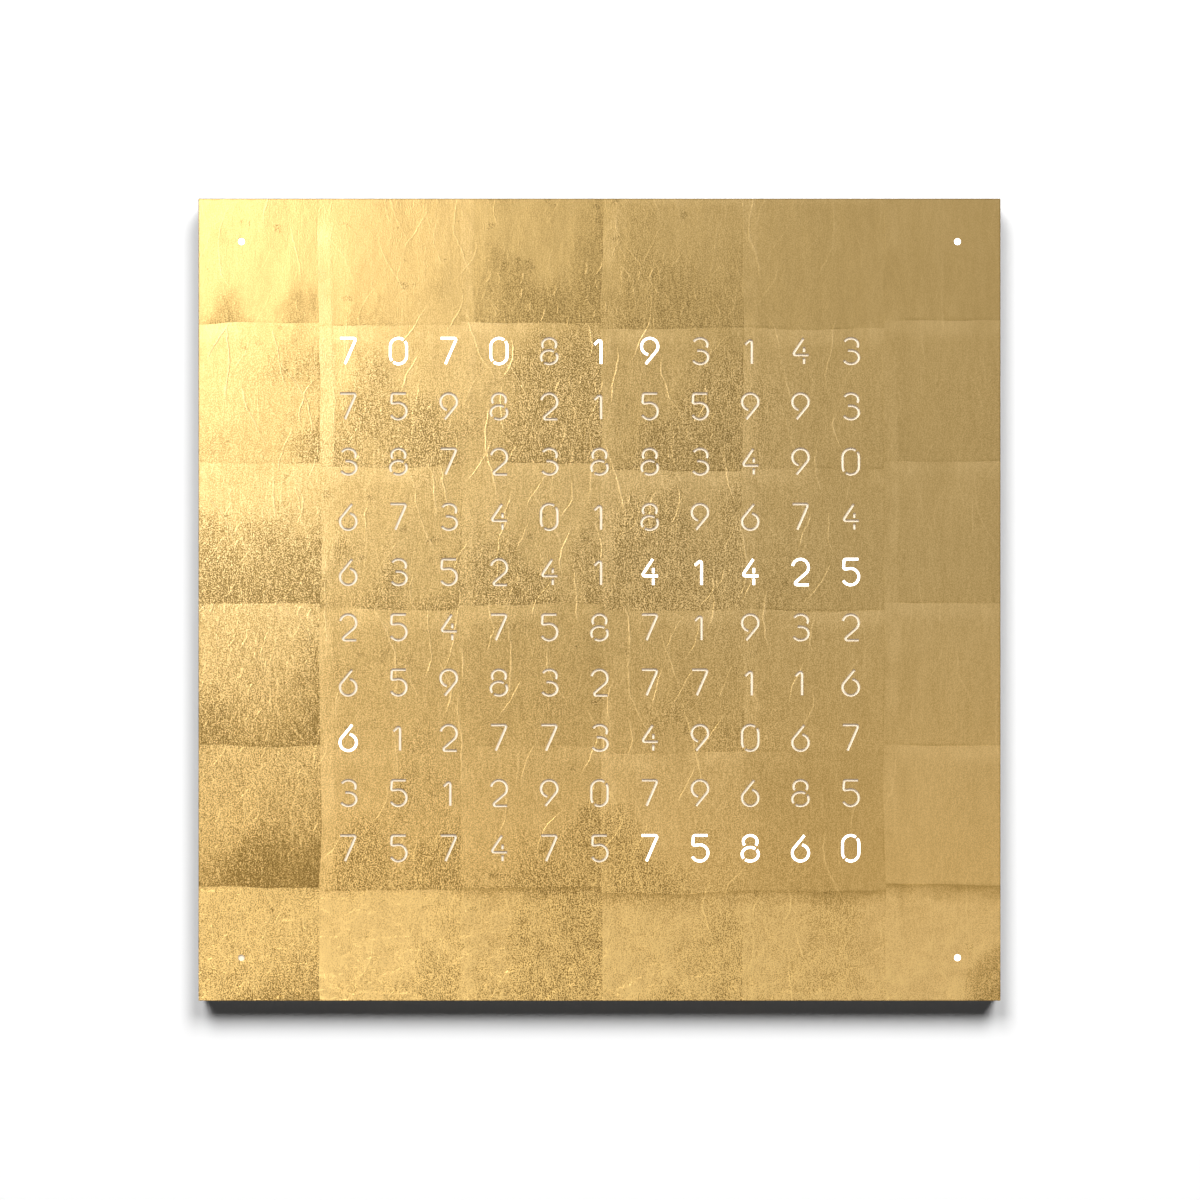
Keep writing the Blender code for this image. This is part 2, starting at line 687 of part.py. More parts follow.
def housing():
    low = (-HOUSING_HALF, HOUSING_FRONT, -HOUSING_HALF)
    body = block("housing", low, (HOUSING_HALF, 0, HOUSING_HALF), lacquer(), HOUSING_EDGE_BREAK)
    cut(body, front_cutters() + rear_cutters())


def magnets():
    for name, at in magnet_places().items():
        disc(f"magnet_{name}", HOUSING_FRONT, HOUSING_FRONT + MAGNET_THICKNESS, MAGNET_RADIUS, at, nickel())


# Light panel: LED board behind a moulded grid of tapered cells


def led_board():
    half_x, half_z = PANEL_HALF_X - FIT, PANEL_HALF_Z - FIT
    outline = rounded(2 * half_x, 2 * half_z, MILLING_RADIUS - FIT)
    board = slab("led_board", outline, LED_BOARD_FRONT, LED_BOARD_BACK, circuit_board())
    size = (LED_SIDE, LED_SIDE)
    levels = (LED_BOARD_FRONT - LED_HEIGHT, LED_BOARD_FRONT + BOARD_SINK)
    leds = joined_mesh("leds", [frustum_mesh(at, *levels, size, size) for at in cell_centres()])
    header_low = (-HEADER_WIDTH / 2, LED_BOARD_BACK - BOARD_SINK, PANEL_HEADER_TOP - HEADER_LENGTH)
    header = block("panel header", header_low, (HEADER_WIDTH / 2, PANEL_HEADER_BACK, PANEL_HEADER_TOP))
    join(board, [leds, header])


def light_grid():
    """Cells that widen towards the dial, so that each fills its character's place evenly."""
    half_x, half_z = PANEL_HALF_X - FIT, PANEL_HALF_Z - FIT
    outline = clipped(half_x, half_z, GRID_CORNER_CUT)
    grid = slab("light_grid", outline, GRID_FRONT, GRID_BACK, white_moulding())
    draft = (CELL_WALL_BACK - CELL_WALL_FRONT) / (GRID_BACK - GRID_FRONT)
    wall_front = CELL_WALL_FRONT - draft * OVERRUN
    wall_back = CELL_WALL_BACK + draft * OVERRUN
    front_size = (COLUMN_PITCH - wall_front, ROW_PITCH - wall_front)
    back_size = (COLUMN_PITCH - wall_back, ROW_PITCH - wall_back)
    levels = (GRID_FRONT - OVERRUN, GRID_BACK + OVERRUN)
    plugs = joined_mesh("cells", [frustum_mesh(at, *levels, front_size, back_size) for at in cell_centres()])
    notch_half = LEAD_WIDTH / 2 + CHANNEL_CLEARANCE
    notch_low = (-notch_half, GRID_FRONT - OVERRUN, half_z - LEAD_ON_BOARD - 2 * FIT)
    notch = block("lead notch", notch_low, (notch_half, GRID_BACK + OVERRUN, half_z + OVERRUN))
    cut(grid, [plugs, notch])


def corner_boards():
    for corner, (side_x, side_z) in CORNER_NAMES.items():
        at = (side_x * CORNER, side_z * CORNER)
        name = f"corner_led_board_{corner}"
        board = disc(name, SMALL_BOARD_FRONT, SMALL_BOARD_BACK, CORNER_BOARD_RADIUS, at, circuit_board())
        size = (LED_SIDE, LED_SIDE)
        levels = (SMALL_BOARD_FRONT - LED_HEIGHT, SMALL_BOARD_FRONT + BOARD_SINK)
        led = place(f"led {corner}", frustum_mesh(at, *levels, size, size), None)
        join(board, [led])


def leads():
    for name, (start, stop) in lead_ends().items():
        back = WIRING_FLOOR - FIT
        strip(name, start, stop, LEAD_WIDTH, back - LEAD_THICKNESS, back, grey_flex())


def light_sensor():
    half = SENSOR_BOARD_WIDTH / 2
    low = (-half, SMALL_BOARD_FRONT, SENSOR_BOARD_TOP - SENSOR_BOARD_HEIGHT)
    board = block("sensor_board", low, (half, SMALL_BOARD_BACK, SENSOR_BOARD_TOP), circuit_board())
    eye_top = POCKET_TOP - GUIDE_IN_POCKET - FIT
    eye_low = (-SENSOR_WIDTH / 2, SMALL_BOARD_FRONT - SENSOR_HEIGHT, eye_top - SENSOR_LENGTH)
    eye = block("eye", eye_low, (SENSOR_WIDTH / 2, SMALL_BOARD_FRONT + BOARD_SINK, eye_top))
    join(board, [eye])
    inner = POCKET_TOP - GUIDE_IN_POCKET
    profile = [(inner, 0), (inner, GUIDE_RADIUS), (HOUSING_HALF, GUIDE_RADIUS), (HOUSING_HALF, 0)]
    turned("sensor_light_guide", profile, (0, GUIDE_LEVEL, 0), clear_acrylic(), SMALL_SIDES, "Z")


# Electronics in the bay


def main_board():
    half = MAIN_BOARD_WIDTH / 2
    low = (-half, MAIN_BOARD_FRONT, MAIN_BOARD_BOTTOM)
    board = block("main_board", low, (half, MAIN_BOARD_BACK, MAIN_BOARD_TOP), circuit_board())
    root = MAIN_BOARD_BACK - BOARD_SINK
    header_low = (-HEADER_WIDTH / 2, root, MAIN_BOARD_TOP - HEADER_LENGTH)
    header_high = (HEADER_WIDTH / 2, RIBBON_LEVEL + RIBBON_THICKNESS + FIT, MAIN_BOARD_TOP)
    fitted = [block("board header", header_low, header_high)]
    for sign in (-1, 1):
        at = (CAPACITOR_X, BAY_Z + sign * CAPACITOR_SPREAD)
        top = MAIN_BOARD_BACK + CAPACITOR_HEIGHT
        fitted.append(disc(f"capacitor {sign}", root, top, CAPACITOR_RADIUS, at, None, SMALL_SIDES))
    regulator_low = (REGULATOR_X - REGULATOR_WIDTH / 2, root, BAY_Z - REGULATOR_LENGTH / 2)
    regulator_high = (
        REGULATOR_X + REGULATOR_WIDTH / 2,
        MAIN_BOARD_BACK + REGULATOR_HEIGHT,
        BAY_Z + REGULATOR_LENGTH / 2,
    )
    fitted.append(block("regulator", regulator_low, regulator_high))
    join(board, fitted)
    notch_half = CHANNEL_WIDTH / 2 + FIT
    front, back = MAIN_BOARD_FRONT - OVERRUN, MAIN_BOARD_BACK + OVERRUN
    notch_low = (INLET_X - notch_half, front, MAIN_BOARD_BOTTOM - OVERRUN)
    notch_high = (INLET_X + notch_half, back, INLET_MOUTH + INLET_LENGTH + FIT)
    holes = [block("inlet notch", notch_low, notch_high)]
    for number, at in enumerate(screw_places()["main_board_screw"]):
        holes.append(round_cutter(f"board hole {number}", front, back, BOARD_SCREW_RADIUS, at))
    cut(board, holes)


def ribbon_cable():
    half = RIBBON_WIDTH / 2
    low = (-half, RIBBON_LEVEL, MAIN_BOARD_TOP + FIT)
    high = (half, RIBBON_LEVEL + RIBBON_THICKNESS, PANEL_HEADER_TOP - HEADER_LENGTH - FIT)
    block("ribbon_cable", low, high, grey_flex())


def microcontroller():
    """A flat package with a row of legs along each long side."""
    z = BAY_Z - CONTROLLER_DROP
    foot = MAIN_BOARD_BACK + FIT
    low = (CONTROLLER_X - CONTROLLER_LENGTH / 2, foot, z - CONTROLLER_WIDTH / 2)
    high = (CONTROLLER_X + CONTROLLER_LENGTH / 2, foot + CONTROLLER_HEIGHT, z + CONTROLLER_WIDTH / 2)
    package = block("microcontroller", low, high, black_moulding())
    legs = []
    for number in range(CONTROLLER_LEGS):
        x = CONTROLLER_X + (number - (CONTROLLER_LEGS - 1) / 2) * LEG_PITCH
        reach = CONTROLLER_WIDTH / 2 + LEG_REACH
        lift = (CONTROLLER_HEIGHT - LEG_THICKNESS) / 2
        leg_low = (x - LEG_WIDTH / 2, foot + lift, z - reach)
        leg_high = (x + LEG_WIDTH / 2, foot + lift + LEG_THICKNESS, z + reach)
        legs.append(block(f"leg {number}", leg_low, leg_high))
    join(package, legs)


def coin_cell_and_holder():
    at = (HOLDER_X, BAY_Z)
    foot = MAIN_BOARD_BACK + FIT
    floor = foot + HOLDER_FLOOR
    rim = floor + FIT + CELL_THICKNESS + HOLDER_LIP
    bore = CELL_RADIUS + FIT
    outer = bore + HOLDER_WALL
    profile = [(foot, 0), (foot, outer), (rim, outer), (rim, bore), (floor, bore), (floor, 0)]
    holder = turned("coin_cell_holder", profile, (at[0], 0, at[1]), black_moulding())
    slot_low = (HOLDER_X - HOLDER_SLOT_WIDTH / 2, floor, BAY_Z - outer - OVERRUN)
    slot = block("finger slot", slot_low, (HOLDER_X + HOLDER_SLOT_WIDTH / 2, rim + OVERRUN, BAY_Z))
    cut(holder, [slot])
    disc("coin_cell", floor + FIT, floor + FIT + CELL_THICKNESS, CELL_RADIUS, at, nickel())


def dc_inlet():
    """A socket with a round mouth facing down, a contact pin inside it and ears that rest on the board."""
    half = INLET_WIDTH / 2
    top = INLET_MOUTH + INLET_LENGTH
    low = (INLET_X - half, INLET_FRONT, INLET_MOUTH)
    body = block("dc_inlet", low, (INLET_X + half, INLET_BACK, top), black_moulding())
    ear_foot = MAIN_BOARD_BACK + FIT
    ear_low = (INLET_X - INLET_EAR_WIDTH / 2, ear_foot, top - INLET_EAR_LENGTH)
    ear_high = (INLET_X + INLET_EAR_WIDTH / 2, ear_foot + INLET_EAR_THICKNESS, top)
    join(body, [block("ears", ear_low, ear_high)])
    level = (INLET_FRONT + INLET_BACK) / 2
    floor = INLET_MOUTH + INLET_BORE_DEPTH
    tip = INLET_MOUTH + INLET_PIN_SET_BACK
    profile = [
        (INLET_MOUTH - OVERRUN, 0),
        (INLET_MOUTH - OVERRUN, INLET_BORE_RADIUS),
        (floor, INLET_BORE_RADIUS),
        (floor, INLET_PIN_RADIUS),
        (tip, INLET_PIN_RADIUS),
        (tip, 0),
    ]
    cut(body, [turned("inlet bore", profile, (INLET_X, level, 0), None, SMALL_SIDES, "Z")])


# Buttons: a cap with a collar under the rear cover, and a stem that enters its switch


def button_places():
    return {name: BUTTON_ROW_X + number * BUTTON_PITCH for number, name in enumerate(BUTTON_NAMES)}


def buttons():
    crown = REAR_COVER_BACK + BUTTON_PROUD
    tip = SWITCH_BACK - STEM_REACH
    for name, x in button_places().items():
        profile = [
            (tip, 0),
            (tip, STEM_RADIUS),
            (COLLAR_FRONT, STEM_RADIUS),
            (COLLAR_FRONT, COLLAR_RADIUS),
            (COLLAR_BACK, COLLAR_RADIUS),
            (COLLAR_BACK, BUTTON_RADIUS),
            (crown - BUTTON_DISH, BUTTON_RADIUS),
            (crown, BUTTON_RADIUS - BUTTON_DISH),
            (crown - BUTTON_DISH, 0),
        ]
        turned(f"button_{name}", profile, (x, 0, BUTTON_Z), black_moulding())


def switches():
    half = SWITCH_SIDE / 2
    for name, x in button_places().items():
        low = (x - half, MAIN_BOARD_BACK + FIT, BUTTON_Z - half)
        body = block(f"switch_{name}", low, (x + half, SWITCH_BACK, BUTTON_Z + half), plain_steel())
        floor = SWITCH_BACK - STEM_REACH - BUTTON_TRAVEL - FIT
        cut(body, [round_cutter(f"{name} bore", floor, SWITCH_BACK + OVERRUN, STEM_RADIUS, (x, BUTTON_Z))])


def rear_cover():
    outline = rounded(REAR_COVER_WIDTH, REAR_COVER_HEIGHT, MILLING_RADIUS)
    cover = slab("rear_cover", outline, REAR_COVER_FRONT, REAR_COVER_BACK, dark_steel(), (0, BAY_Z))
    front, back = REAR_COVER_FRONT - OVERRUN, REAR_COVER_BACK + OVERRUN
    holes = []
    for name, x in button_places().items():
        holes.append(disc(f"{name} hole", front, back, BUTTON_RADIUS + FIT, (x, BUTTON_Z)))
    half = CHANNEL_WIDTH / 2
    notch_low = (INLET_X - half, front, BAY_Z - REAR_COVER_HEIGHT / 2 - OVERRUN)
    holes.append(block("cable notch", notch_low, (INLET_X + half, back, INLET_MOUTH)))
    for number, at in enumerate(screw_places()["rear_cover_screw"]):
        sizes = (COVER_SCREW_RADIUS, COVER_SCREW_HEAD_RADIUS, COVER_SCREW_LENGTH)
        holes.append(countersunk_hole(f"cover hole {number}", REAR_COVER_BACK, *sizes, at))
    cut(cover, holes)


# Screws and hangers


def countersunk(face, radius, head_radius, length):
    """The profile of a screw with a pointed tip, its flat head level with a face."""
    tip = face - length
    throat = face - (head_radius - radius)
    return [(tip, 0), (tip + radius, radius), (throat, radius), (face, head_radius), (face, 0)]


def countersunk_hole(name, face, radius, head_radius, depth, at):
    """The cutter for a countersunk hole, with room all round the screw that goes in it."""
    throat = face - (head_radius - radius)
    profile = [
        (face - depth, 0),
        (face - depth, radius + FIT),
        (throat, radius + FIT),
        (face, head_radius + FIT),
        (face + OVERRUN, head_radius + FIT),
        (face + OVERRUN, 0),
    ]
    return turned(name, profile, (at[0], 0, at[1]), None, SMALL_SIDES)


def screws():
    for number, at in enumerate(screw_places()["rear_cover_screw"], 1):
        sizes = (COVER_SCREW_RADIUS, COVER_SCREW_HEAD_RADIUS, COVER_SCREW_LENGTH)
        profile = countersunk(REAR_COVER_BACK, *sizes)
        turned(f"rear_cover_screw_{number}", profile, (at[0], 0, at[1]), plain_steel(), SMALL_SIDES)
    for number, at in enumerate(screw_places()["hanger_screw"], 1):
        sizes = (HANGER_SCREW_RADIUS, HANGER_SCREW_HEAD_RADIUS, HANGER_SCREW_LENGTH)
        profile = countersunk(HANGER_BACK, *sizes)
        turned(f"hanger_screw_{number}", profile, (at[0], 0, at[1]), plain_steel(), SMALL_SIDES)
    seat = MAIN_BOARD_BACK + FIT
    for number, at in enumerate(screw_places()["main_board_screw"], 1):
        profile = [
            (BOARD_SCREW_TIP, 0),
            (BOARD_SCREW_TIP + BOARD_SCREW_RADIUS, BOARD_SCREW_RADIUS),
            (seat, BOARD_SCREW_RADIUS),
            (seat, BOARD_SCREW_HEAD_RADIUS),
            (seat + BOARD_SCREW_HEAD_HEIGHT / 2, BOARD_SCREW_HEAD_RADIUS),
            (seat + BOARD_SCREW_HEAD_HEIGHT, BOARD_SCREW_HEAD_RADIUS / 2),
            (seat + BOARD_SCREW_HEAD_HEIGHT, 0),
        ]
        turned(f"main_board_screw_{number}", profile, (at[0], 0, at[1]), plain_steel(), SMALL_SIDES)


def keyhole_outline():
    """A round hole with a slot rising from it, ended by a half circle."""
    drop = -KEYHOLE_DROP
    leave = math.asin(KEYHOLE_SLOT_RADIUS / KEYHOLE_RADIUS)
    outline = []
    for step in range(ROUND_SIDES + 1):
        turn = math.pi / 2 + leave + (2 * math.pi - 2 * leave) * step / ROUND_SIDES
        outline.append((KEYHOLE_RADIUS * math.cos(turn), drop + KEYHOLE_RADIUS * math.sin(turn)))
    for step in range(SMALL_SIDES // 2 + 1):
        turn = math.pi * step / (SMALL_SIDES // 2)
        x = KEYHOLE_SLOT_RADIUS * math.cos(turn)
        outline.append((x, drop + KEYHOLE_RISE + KEYHOLE_SLOT_RADIUS * math.sin(turn)))
    return outline


def hanger_plates():
    front, back = HANGER_FRONT - OVERRUN, HANGER_BACK + OVERRUN
    for side, x in hanger_places().items():
        outline = rounded(HANGER_WIDTH, HANGER_HEIGHT, HANGER_CORNER_RADIUS)
        plate = slab(f"hanger_plate_{side}", outline, HANGER_FRONT, HANGER_BACK, plain_steel(), (x, HANGER_Z))
        holes = [slab(f"keyhole {side}", keyhole_outline(), front, back, None, (x, HANGER_Z))]
        for sign in (-1, 1):
            at = (x + sign * HANGER_SCREW_SPACING / 2, HANGER_Z)
            sizes = (HANGER_SCREW_RADIUS, HANGER_SCREW_HEAD_RADIUS, HANGER_SCREW_LENGTH)
            holes.append(countersunk_hole(f"hanger hole {side} {sign}", HANGER_BACK, *sizes, at))
        cut(plate, holes)


def build():
    clear_scene()
    carrier = bpy.data.objects.new("front cover carrier", None)
    carrier.location = (0, COVER_BACK, 0)
    bpy.context.scene.collection.objects.link(carrier)
    front_cover(carrier)
    diffusers(carrier)
    locating_studs(carrier)
    housing()
    magnets()
    led_board()
    light_grid()
    corner_boards()
    leads()
    light_sensor()
    main_board()
    ribbon_cable()
    microcontroller()
    coin_cell_and_holder()
    dc_inlet()
    buttons()
    switches()
    rear_cover()
    screws()
    hanger_plates()


build()
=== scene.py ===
"""Looks of the wall word clock: a leaf-covered steel face over an opal dial, on a lacquered housing."""

from functools import partial

import bpy
import numpy as np
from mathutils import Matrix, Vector
from mathutils.geometry import delaunay_2d_cdt


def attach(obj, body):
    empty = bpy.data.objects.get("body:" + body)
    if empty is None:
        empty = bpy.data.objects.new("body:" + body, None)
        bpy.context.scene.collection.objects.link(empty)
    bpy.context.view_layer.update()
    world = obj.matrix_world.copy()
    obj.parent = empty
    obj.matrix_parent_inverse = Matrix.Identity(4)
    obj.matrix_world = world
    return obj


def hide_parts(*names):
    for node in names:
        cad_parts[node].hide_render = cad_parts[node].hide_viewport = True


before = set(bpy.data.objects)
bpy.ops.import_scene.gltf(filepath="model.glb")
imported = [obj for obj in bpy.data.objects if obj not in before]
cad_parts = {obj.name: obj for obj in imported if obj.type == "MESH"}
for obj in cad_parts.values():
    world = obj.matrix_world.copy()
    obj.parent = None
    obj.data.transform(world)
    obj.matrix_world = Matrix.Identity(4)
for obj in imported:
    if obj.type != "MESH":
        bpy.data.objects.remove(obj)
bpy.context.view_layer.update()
MM = 0.001

# Camera
# A long lens straight in front of the dial, so that the square face shows no side.
# It stands off the dial's centre line by less than half a millimetre.

FACE_WIDTH = 450 * MM
FACE_LEVEL = -20 * MM
PICTURE_SIDE = 1200
FACE_IN_PICTURE = 802
CAMERA_DISTANCE = 4.0
CAMERA_RIGHT, CAMERA_UP = 0.3 * MM, -0.2 * MM
SENSOR = 36.0
shown_width = FACE_WIDTH * PICTURE_SIDE / FACE_IN_PICTURE
lens = bpy.data.cameras.new("front lens")
lens.sensor_width = SENSOR
lens.lens = SENSOR * (CAMERA_DISTANCE + FACE_LEVEL) / shown_width
lens.clip_end = 50
camera = bpy.data.objects.new("front camera", lens)
camera.location = (CAMERA_RIGHT, -CAMERA_DISTANCE, CAMERA_UP)
camera.rotation_euler = (np.pi / 2, 0, 0)
bpy.context.scene.collection.objects.link(camera)
bpy.context.scene.camera = camera
bpy.context.scene.view_settings.view_transform = "Standard"

# Housing
# One fibreboard panel, milled from both sides and sprayed with black satin lacquer.
# The lacquer lies even outside; in the milled pockets it is thin, matt and shows the cutter's path.


def linear(colour):
    """An sRGB hex colour as linear red, green, blue and a full alpha."""
    parts = np.array([int(colour[at:at + 2], 16) for at in (1, 3, 5)]) / 255
    parts = np.where(parts <= 0.04045, parts / 12.92, ((parts + 0.055) / 1.055) ** 2.4)
    return (*parts.tolist(), 1.0)


def add_node(tree, kind, *values, out=None, **named):
    """Adds one shader node and gives its output: the first in use, or the one that out names.

    Values go to the inputs in use, in their order. A named value goes to the input of that name, with _ for a
    space, where the name has a capital, and else to the node's own setting. Another node's output is linked,
    and a colour may be in hex. A Mix node mixes colours.
    """
    node = tree.nodes.new("ShaderNode" + kind)
    if kind == "Mix":
        node.data_type = "RGBA"
    for name, value in named.items():
        if name.islower():
            setattr(node, name, value)
    inputs = [socket for socket in node.inputs if socket.enabled]
    pairs = [*zip(inputs, values), *((socket, named.get(socket.name.replace(" ", "_"))) for socket in inputs)]
    for socket, value in pairs:
        if isinstance(value, bpy.types.NodeSocket):
            tree.links.new(value, socket)
        elif value is not None:
            socket.default_value = linear(value) if isinstance(value, str) else value
    return next(socket for socket in node.outputs if socket.enabled and out in (None, socket.name))


def new_finish(name, colour, roughness, metallic=0.0):
    """A new material, with what adds a node to it, its shader and the piece's own coordinates in mm."""
    finish = bpy.data.materials.new(name)
    finish.use_nodes = True
    add = partial(add_node, finish.node_tree)
    shader = finish.node_tree.nodes["Principled BSDF"]
    shader.inputs["Base Color"].default_value = linear(colour)
    shader.inputs["Roughness"].default_value = roughness
    shader.inputs["Metallic"].default_value = metallic
    return finish, add, shader, add("VectorMath", add("TexCoord", out="Object"), 1 / MM, operation="SCALE")


def join(node, **values):
    """Links each output to the node's input of that name, with _ for a space."""
    for name, value in values.items():
        node.id_data.links.new(value, node.inputs[name.replace("_", " ")])


def dress(finish, *names):
    """Gives carried-over nodes a finish through their material slots."""
    for name in names:
        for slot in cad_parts[name].material_slots:
            slot.material = finish


lacquer, add, shader, place = new_finish("black satin lacquer on fibreboard", "#1d1c1c", 0.36)
across, depth, height = add("SeparateXYZ", place).node.outputs
SKIN_FRONT, SKIN_BACK, SKIN_SIDES = -18.6, -0.1, 223.1
below_face = add("Math", depth, SKIN_FRONT, operation="GREATER_THAN")
before_back = add("Math", depth, SKIN_BACK, operation="LESS_THAN")
milled = add("Math", below_face, before_back, operation="MULTIPLY")
for value in (across, height):
    reach = add("Math", value, operation="ABSOLUTE")
    inside = add("Math", reach, SKIN_SIDES, operation="LESS_THAN")
    milled = add("Math", milled, inside, operation="MULTIPLY")
cutter_path = add("TexWave", place, Scale=0.063, Distortion=0.6, Detail=1.0, wave_type="BANDS",
                  bands_direction="X", out="Fac")
fibres = add("TexNoise", place, Scale=1.6, Detail=4.0)
peel = add("TexNoise", place, Scale=0.45, Detail=1.0)
thin = add("Math", fibres, milled, operation="MULTIPLY")
tone = add("Mix", thin, "#1b1a1a", "#4a3d30")
gloss = add("MapRange", peel, To_Min=0.30, To_Max=0.40)
gloss = add("Math", milled, 0.30, gloss, operation="MULTIPLY_ADD")
marks = add("Math", cutter_path, milled, operation="MULTIPLY")
relief = add("Math", marks, 1.5, peel, operation="MULTIPLY_ADD")
bump = add("Bump", Strength=0.25, Distance=0.06 * MM, Height=relief)
join(shader, Base_Color=tone, Roughness=gloss, Normal=bump)
dress(lacquer, "housing")

# Magnets
# Eight sintered discs pressed into the margin. They are nickel plated in a barrel, and so they are bright
# with fine scratches.

nickel, add, shader, place = new_finish("barrel-plated nickel", "#cfcbc1", 0.2, 1.0)
scratches = add("TexNoise", place, Scale=2.5, Detail=6.0, Distortion=3.0)
gloss = add("MapRange", scratches, To_Min=0.12, To_Max=0.34)
tone = add("Mix", scratches, "#bdb8ac", "#dcd9d0")
join(shader, Base_Color=tone, Roughness=gloss)
dress(nickel, *[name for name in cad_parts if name.startswith("magnet_")])

# LED board and corner boards
# Glass-epoxy boards under green solder mask, with one white LED package in each cell and a header behind.
# Each LED is a moulded white frame round a disc of yellow phosphor. The copper tracks show through the mask.

COLUMNS, ROWS = 11, 10
COLUMN_PITCH, ROW_PITCH = 28.2, 31.0
MIDDLE_COLUMN, MIDDLE_ROW = (COLUMNS - 1) / 2, (ROWS - 1) / 2
CORNER_LIGHT = 200.9
PANEL_LEDS, PANEL_HEADER = -8.15, -6.45
SMALL_PARTS, NO_HEADER = -9.65, 0.0
PHOSPHOR_RADIUS = 1.9
TRACK_OFF, TRACK_HALF = 1.7, 0.35
FAR_APART = (100.0, 100.0)


def solder_mask(add, place):
    """The weave of a board's glass, and the green of the mask over it."""
    weave = add("TexNoise", place, Scale=1.2, Detail=3.0)
    return weave, add("Mix", weave, "#144a2a", "#1f6138")


def board_finish(name, led_below, header_above, pitches, shift):
    """Solder mask with LED packages in front of it and a header behind, told apart by their depth in mm."""
    finish, add, shader, place = new_finish(name, "#1d5a35", 0.4)
    across, depth, height = add("SeparateXYZ", place).node.outputs
    offsets = []
    for value, pitch, move in zip((across, height), pitches, shift):
        moved = add("Math", value, move, operation="ADD")
        offsets.append(add("Math", moved, pitch / 2, -pitch / 2, operation="WRAP"))
    from_led = add("CombineXYZ", offsets[0], offsets[1])
    distance = add("VectorMath", from_led, operation="LENGTH")
    phosphor = add("Math", distance, PHOSPHOR_RADIUS, operation="LESS_THAN")
    led = add("Math", depth, led_below, operation="LESS_THAN")
    header = add("Math", depth, header_above, operation="GREATER_THAN")
    near = add("Math", offsets[1], operation="ABSOLUTE")
    near = add("Math", near, TRACK_OFF, operation="SUBTRACT")
    near = add("Math", near, operation="ABSOLUTE")
    track = add("Math", near, TRACK_HALF, operation="LESS_THAN")
    weave, mask = solder_mask(add, place)
    mask = add("Mix", track, mask, "#3c8a55")
    package = add("Mix", phosphor, "#efeee8", "#e8cf4a")
    shown = add("Mix", led, mask, package)
    shown = add("Mix", header, shown, "#e6e2d6")
    raised = add("Math", track, 0.8, weave, operation="MULTIPLY_ADD")
    bump = add("Bump", Strength=0.3, Distance=0.04 * MM, Height=raised)
    join(shader, Base_Color=shown, Normal=bump)
    return finish


dress(board_finish("green solder mask with LEDs", PANEL_LEDS, PANEL_HEADER, (COLUMN_PITCH, ROW_PITCH),
                   (0, ROW_PITCH / 2)), "led_board")
CORNERS = {"top_left": (-1, 1), "top_right": (1, 1), "bottom_left": (-1, -1), "bottom_right": (1, -1)}
for corner, (right, up) in CORNERS.items():
    shift = (-CORNER_LIGHT * right, -CORNER_LIGHT * up)
    finish = board_finish(f"green solder mask, {corner}", SMALL_PARTS, NO_HEADER, FAR_APART, shift)
    dress(finish, f"corner_led_board_{corner}")

# Light grid
# One white ABS moulding of 110 tapered cells, with the fine spark-eroded grain of its tool.

white_abs, add, shader, place = new_finish("white moulded ABS", "#efeeea", 0.48)
grain = add("TexNoise", place, Scale=3.0, Detail=3.0)
flow = add("TexNoise", place, Scale=0.04, Detail=1.0)
tone = add("Mix", flow, "#e9e8e2", "#f3f3f0")
bump = add("Bump", Strength=0.3, Distance=0.04 * MM, Height=grain)
join(shader, Base_Color=tone, Normal=bump)
dress(white_abs, "light_grid")

# Leads and ribbon cable
# Flat PVC leads whose cores show as ridges side by side, with painted shade in the grooves between them.
# The first core of each is red.

LEAD_WIDTH, LEAD_CORE = 3.8, 0.95
RIBBON_WIDTH, RIBBON_CORE = 20.0, 1.27
SLANT = 0.7071


def ribbon_finish(name, width, core_pitch, diagonal=False):
    """Ridges across a flat lead, one to a core pitch. A diagonal lead is measured across its own run."""
    finish, add, shader, place = new_finish(name, "#8f9296", 0.5)
    across, _, height = add("SeparateXYZ", place).node.outputs
    if diagonal:
        across = add("Math", across, operation="ABSOLUTE")
        height = add("Math", height, operation="ABSOLUTE")
        across = add("Math", across, height, operation="SUBTRACT")
        across = add("Math", across, SLANT, operation="MULTIPLY")
    cores = add("Math", across, core_pitch, operation="DIVIDE")
    phase = add("Math", cores, np.pi, operation="MULTIPLY")
    ridge = add("Math", add("Math", phase, operation="COSINE"), operation="ABSOLUTE")
    first = add("Math", across, core_pitch - width / 2, operation="LESS_THAN")
    # The grooves between the cores are painted darker: painted shade.
    tone = add("Mix", ridge, "#6f7276", "#a4a7ab")
    tone = add("Mix", first, tone, "#a8322c")
    bump = add("Bump", Strength=0.8, Distance=0.2 * MM, Height=ridge)
    join(shader, Base_Color=tone, Normal=bump)
    return finish


dress(ribbon_finish("grey PVC corner lead", LEAD_WIDTH, LEAD_CORE, diagonal=True),
      *[f"corner_lead_{corner}" for corner in CORNERS])
dress(ribbon_finish("grey PVC sensor lead", LEAD_WIDTH, LEAD_CORE), "sensor_lead")
dress(ribbon_finish("grey PVC ribbon", RIBBON_WIDTH, RIBBON_CORE), "ribbon_cable")

# Light sensor
# A small green board with a black sensor on it, and a clear acrylic rod that leads daylight in from the
# top edge.

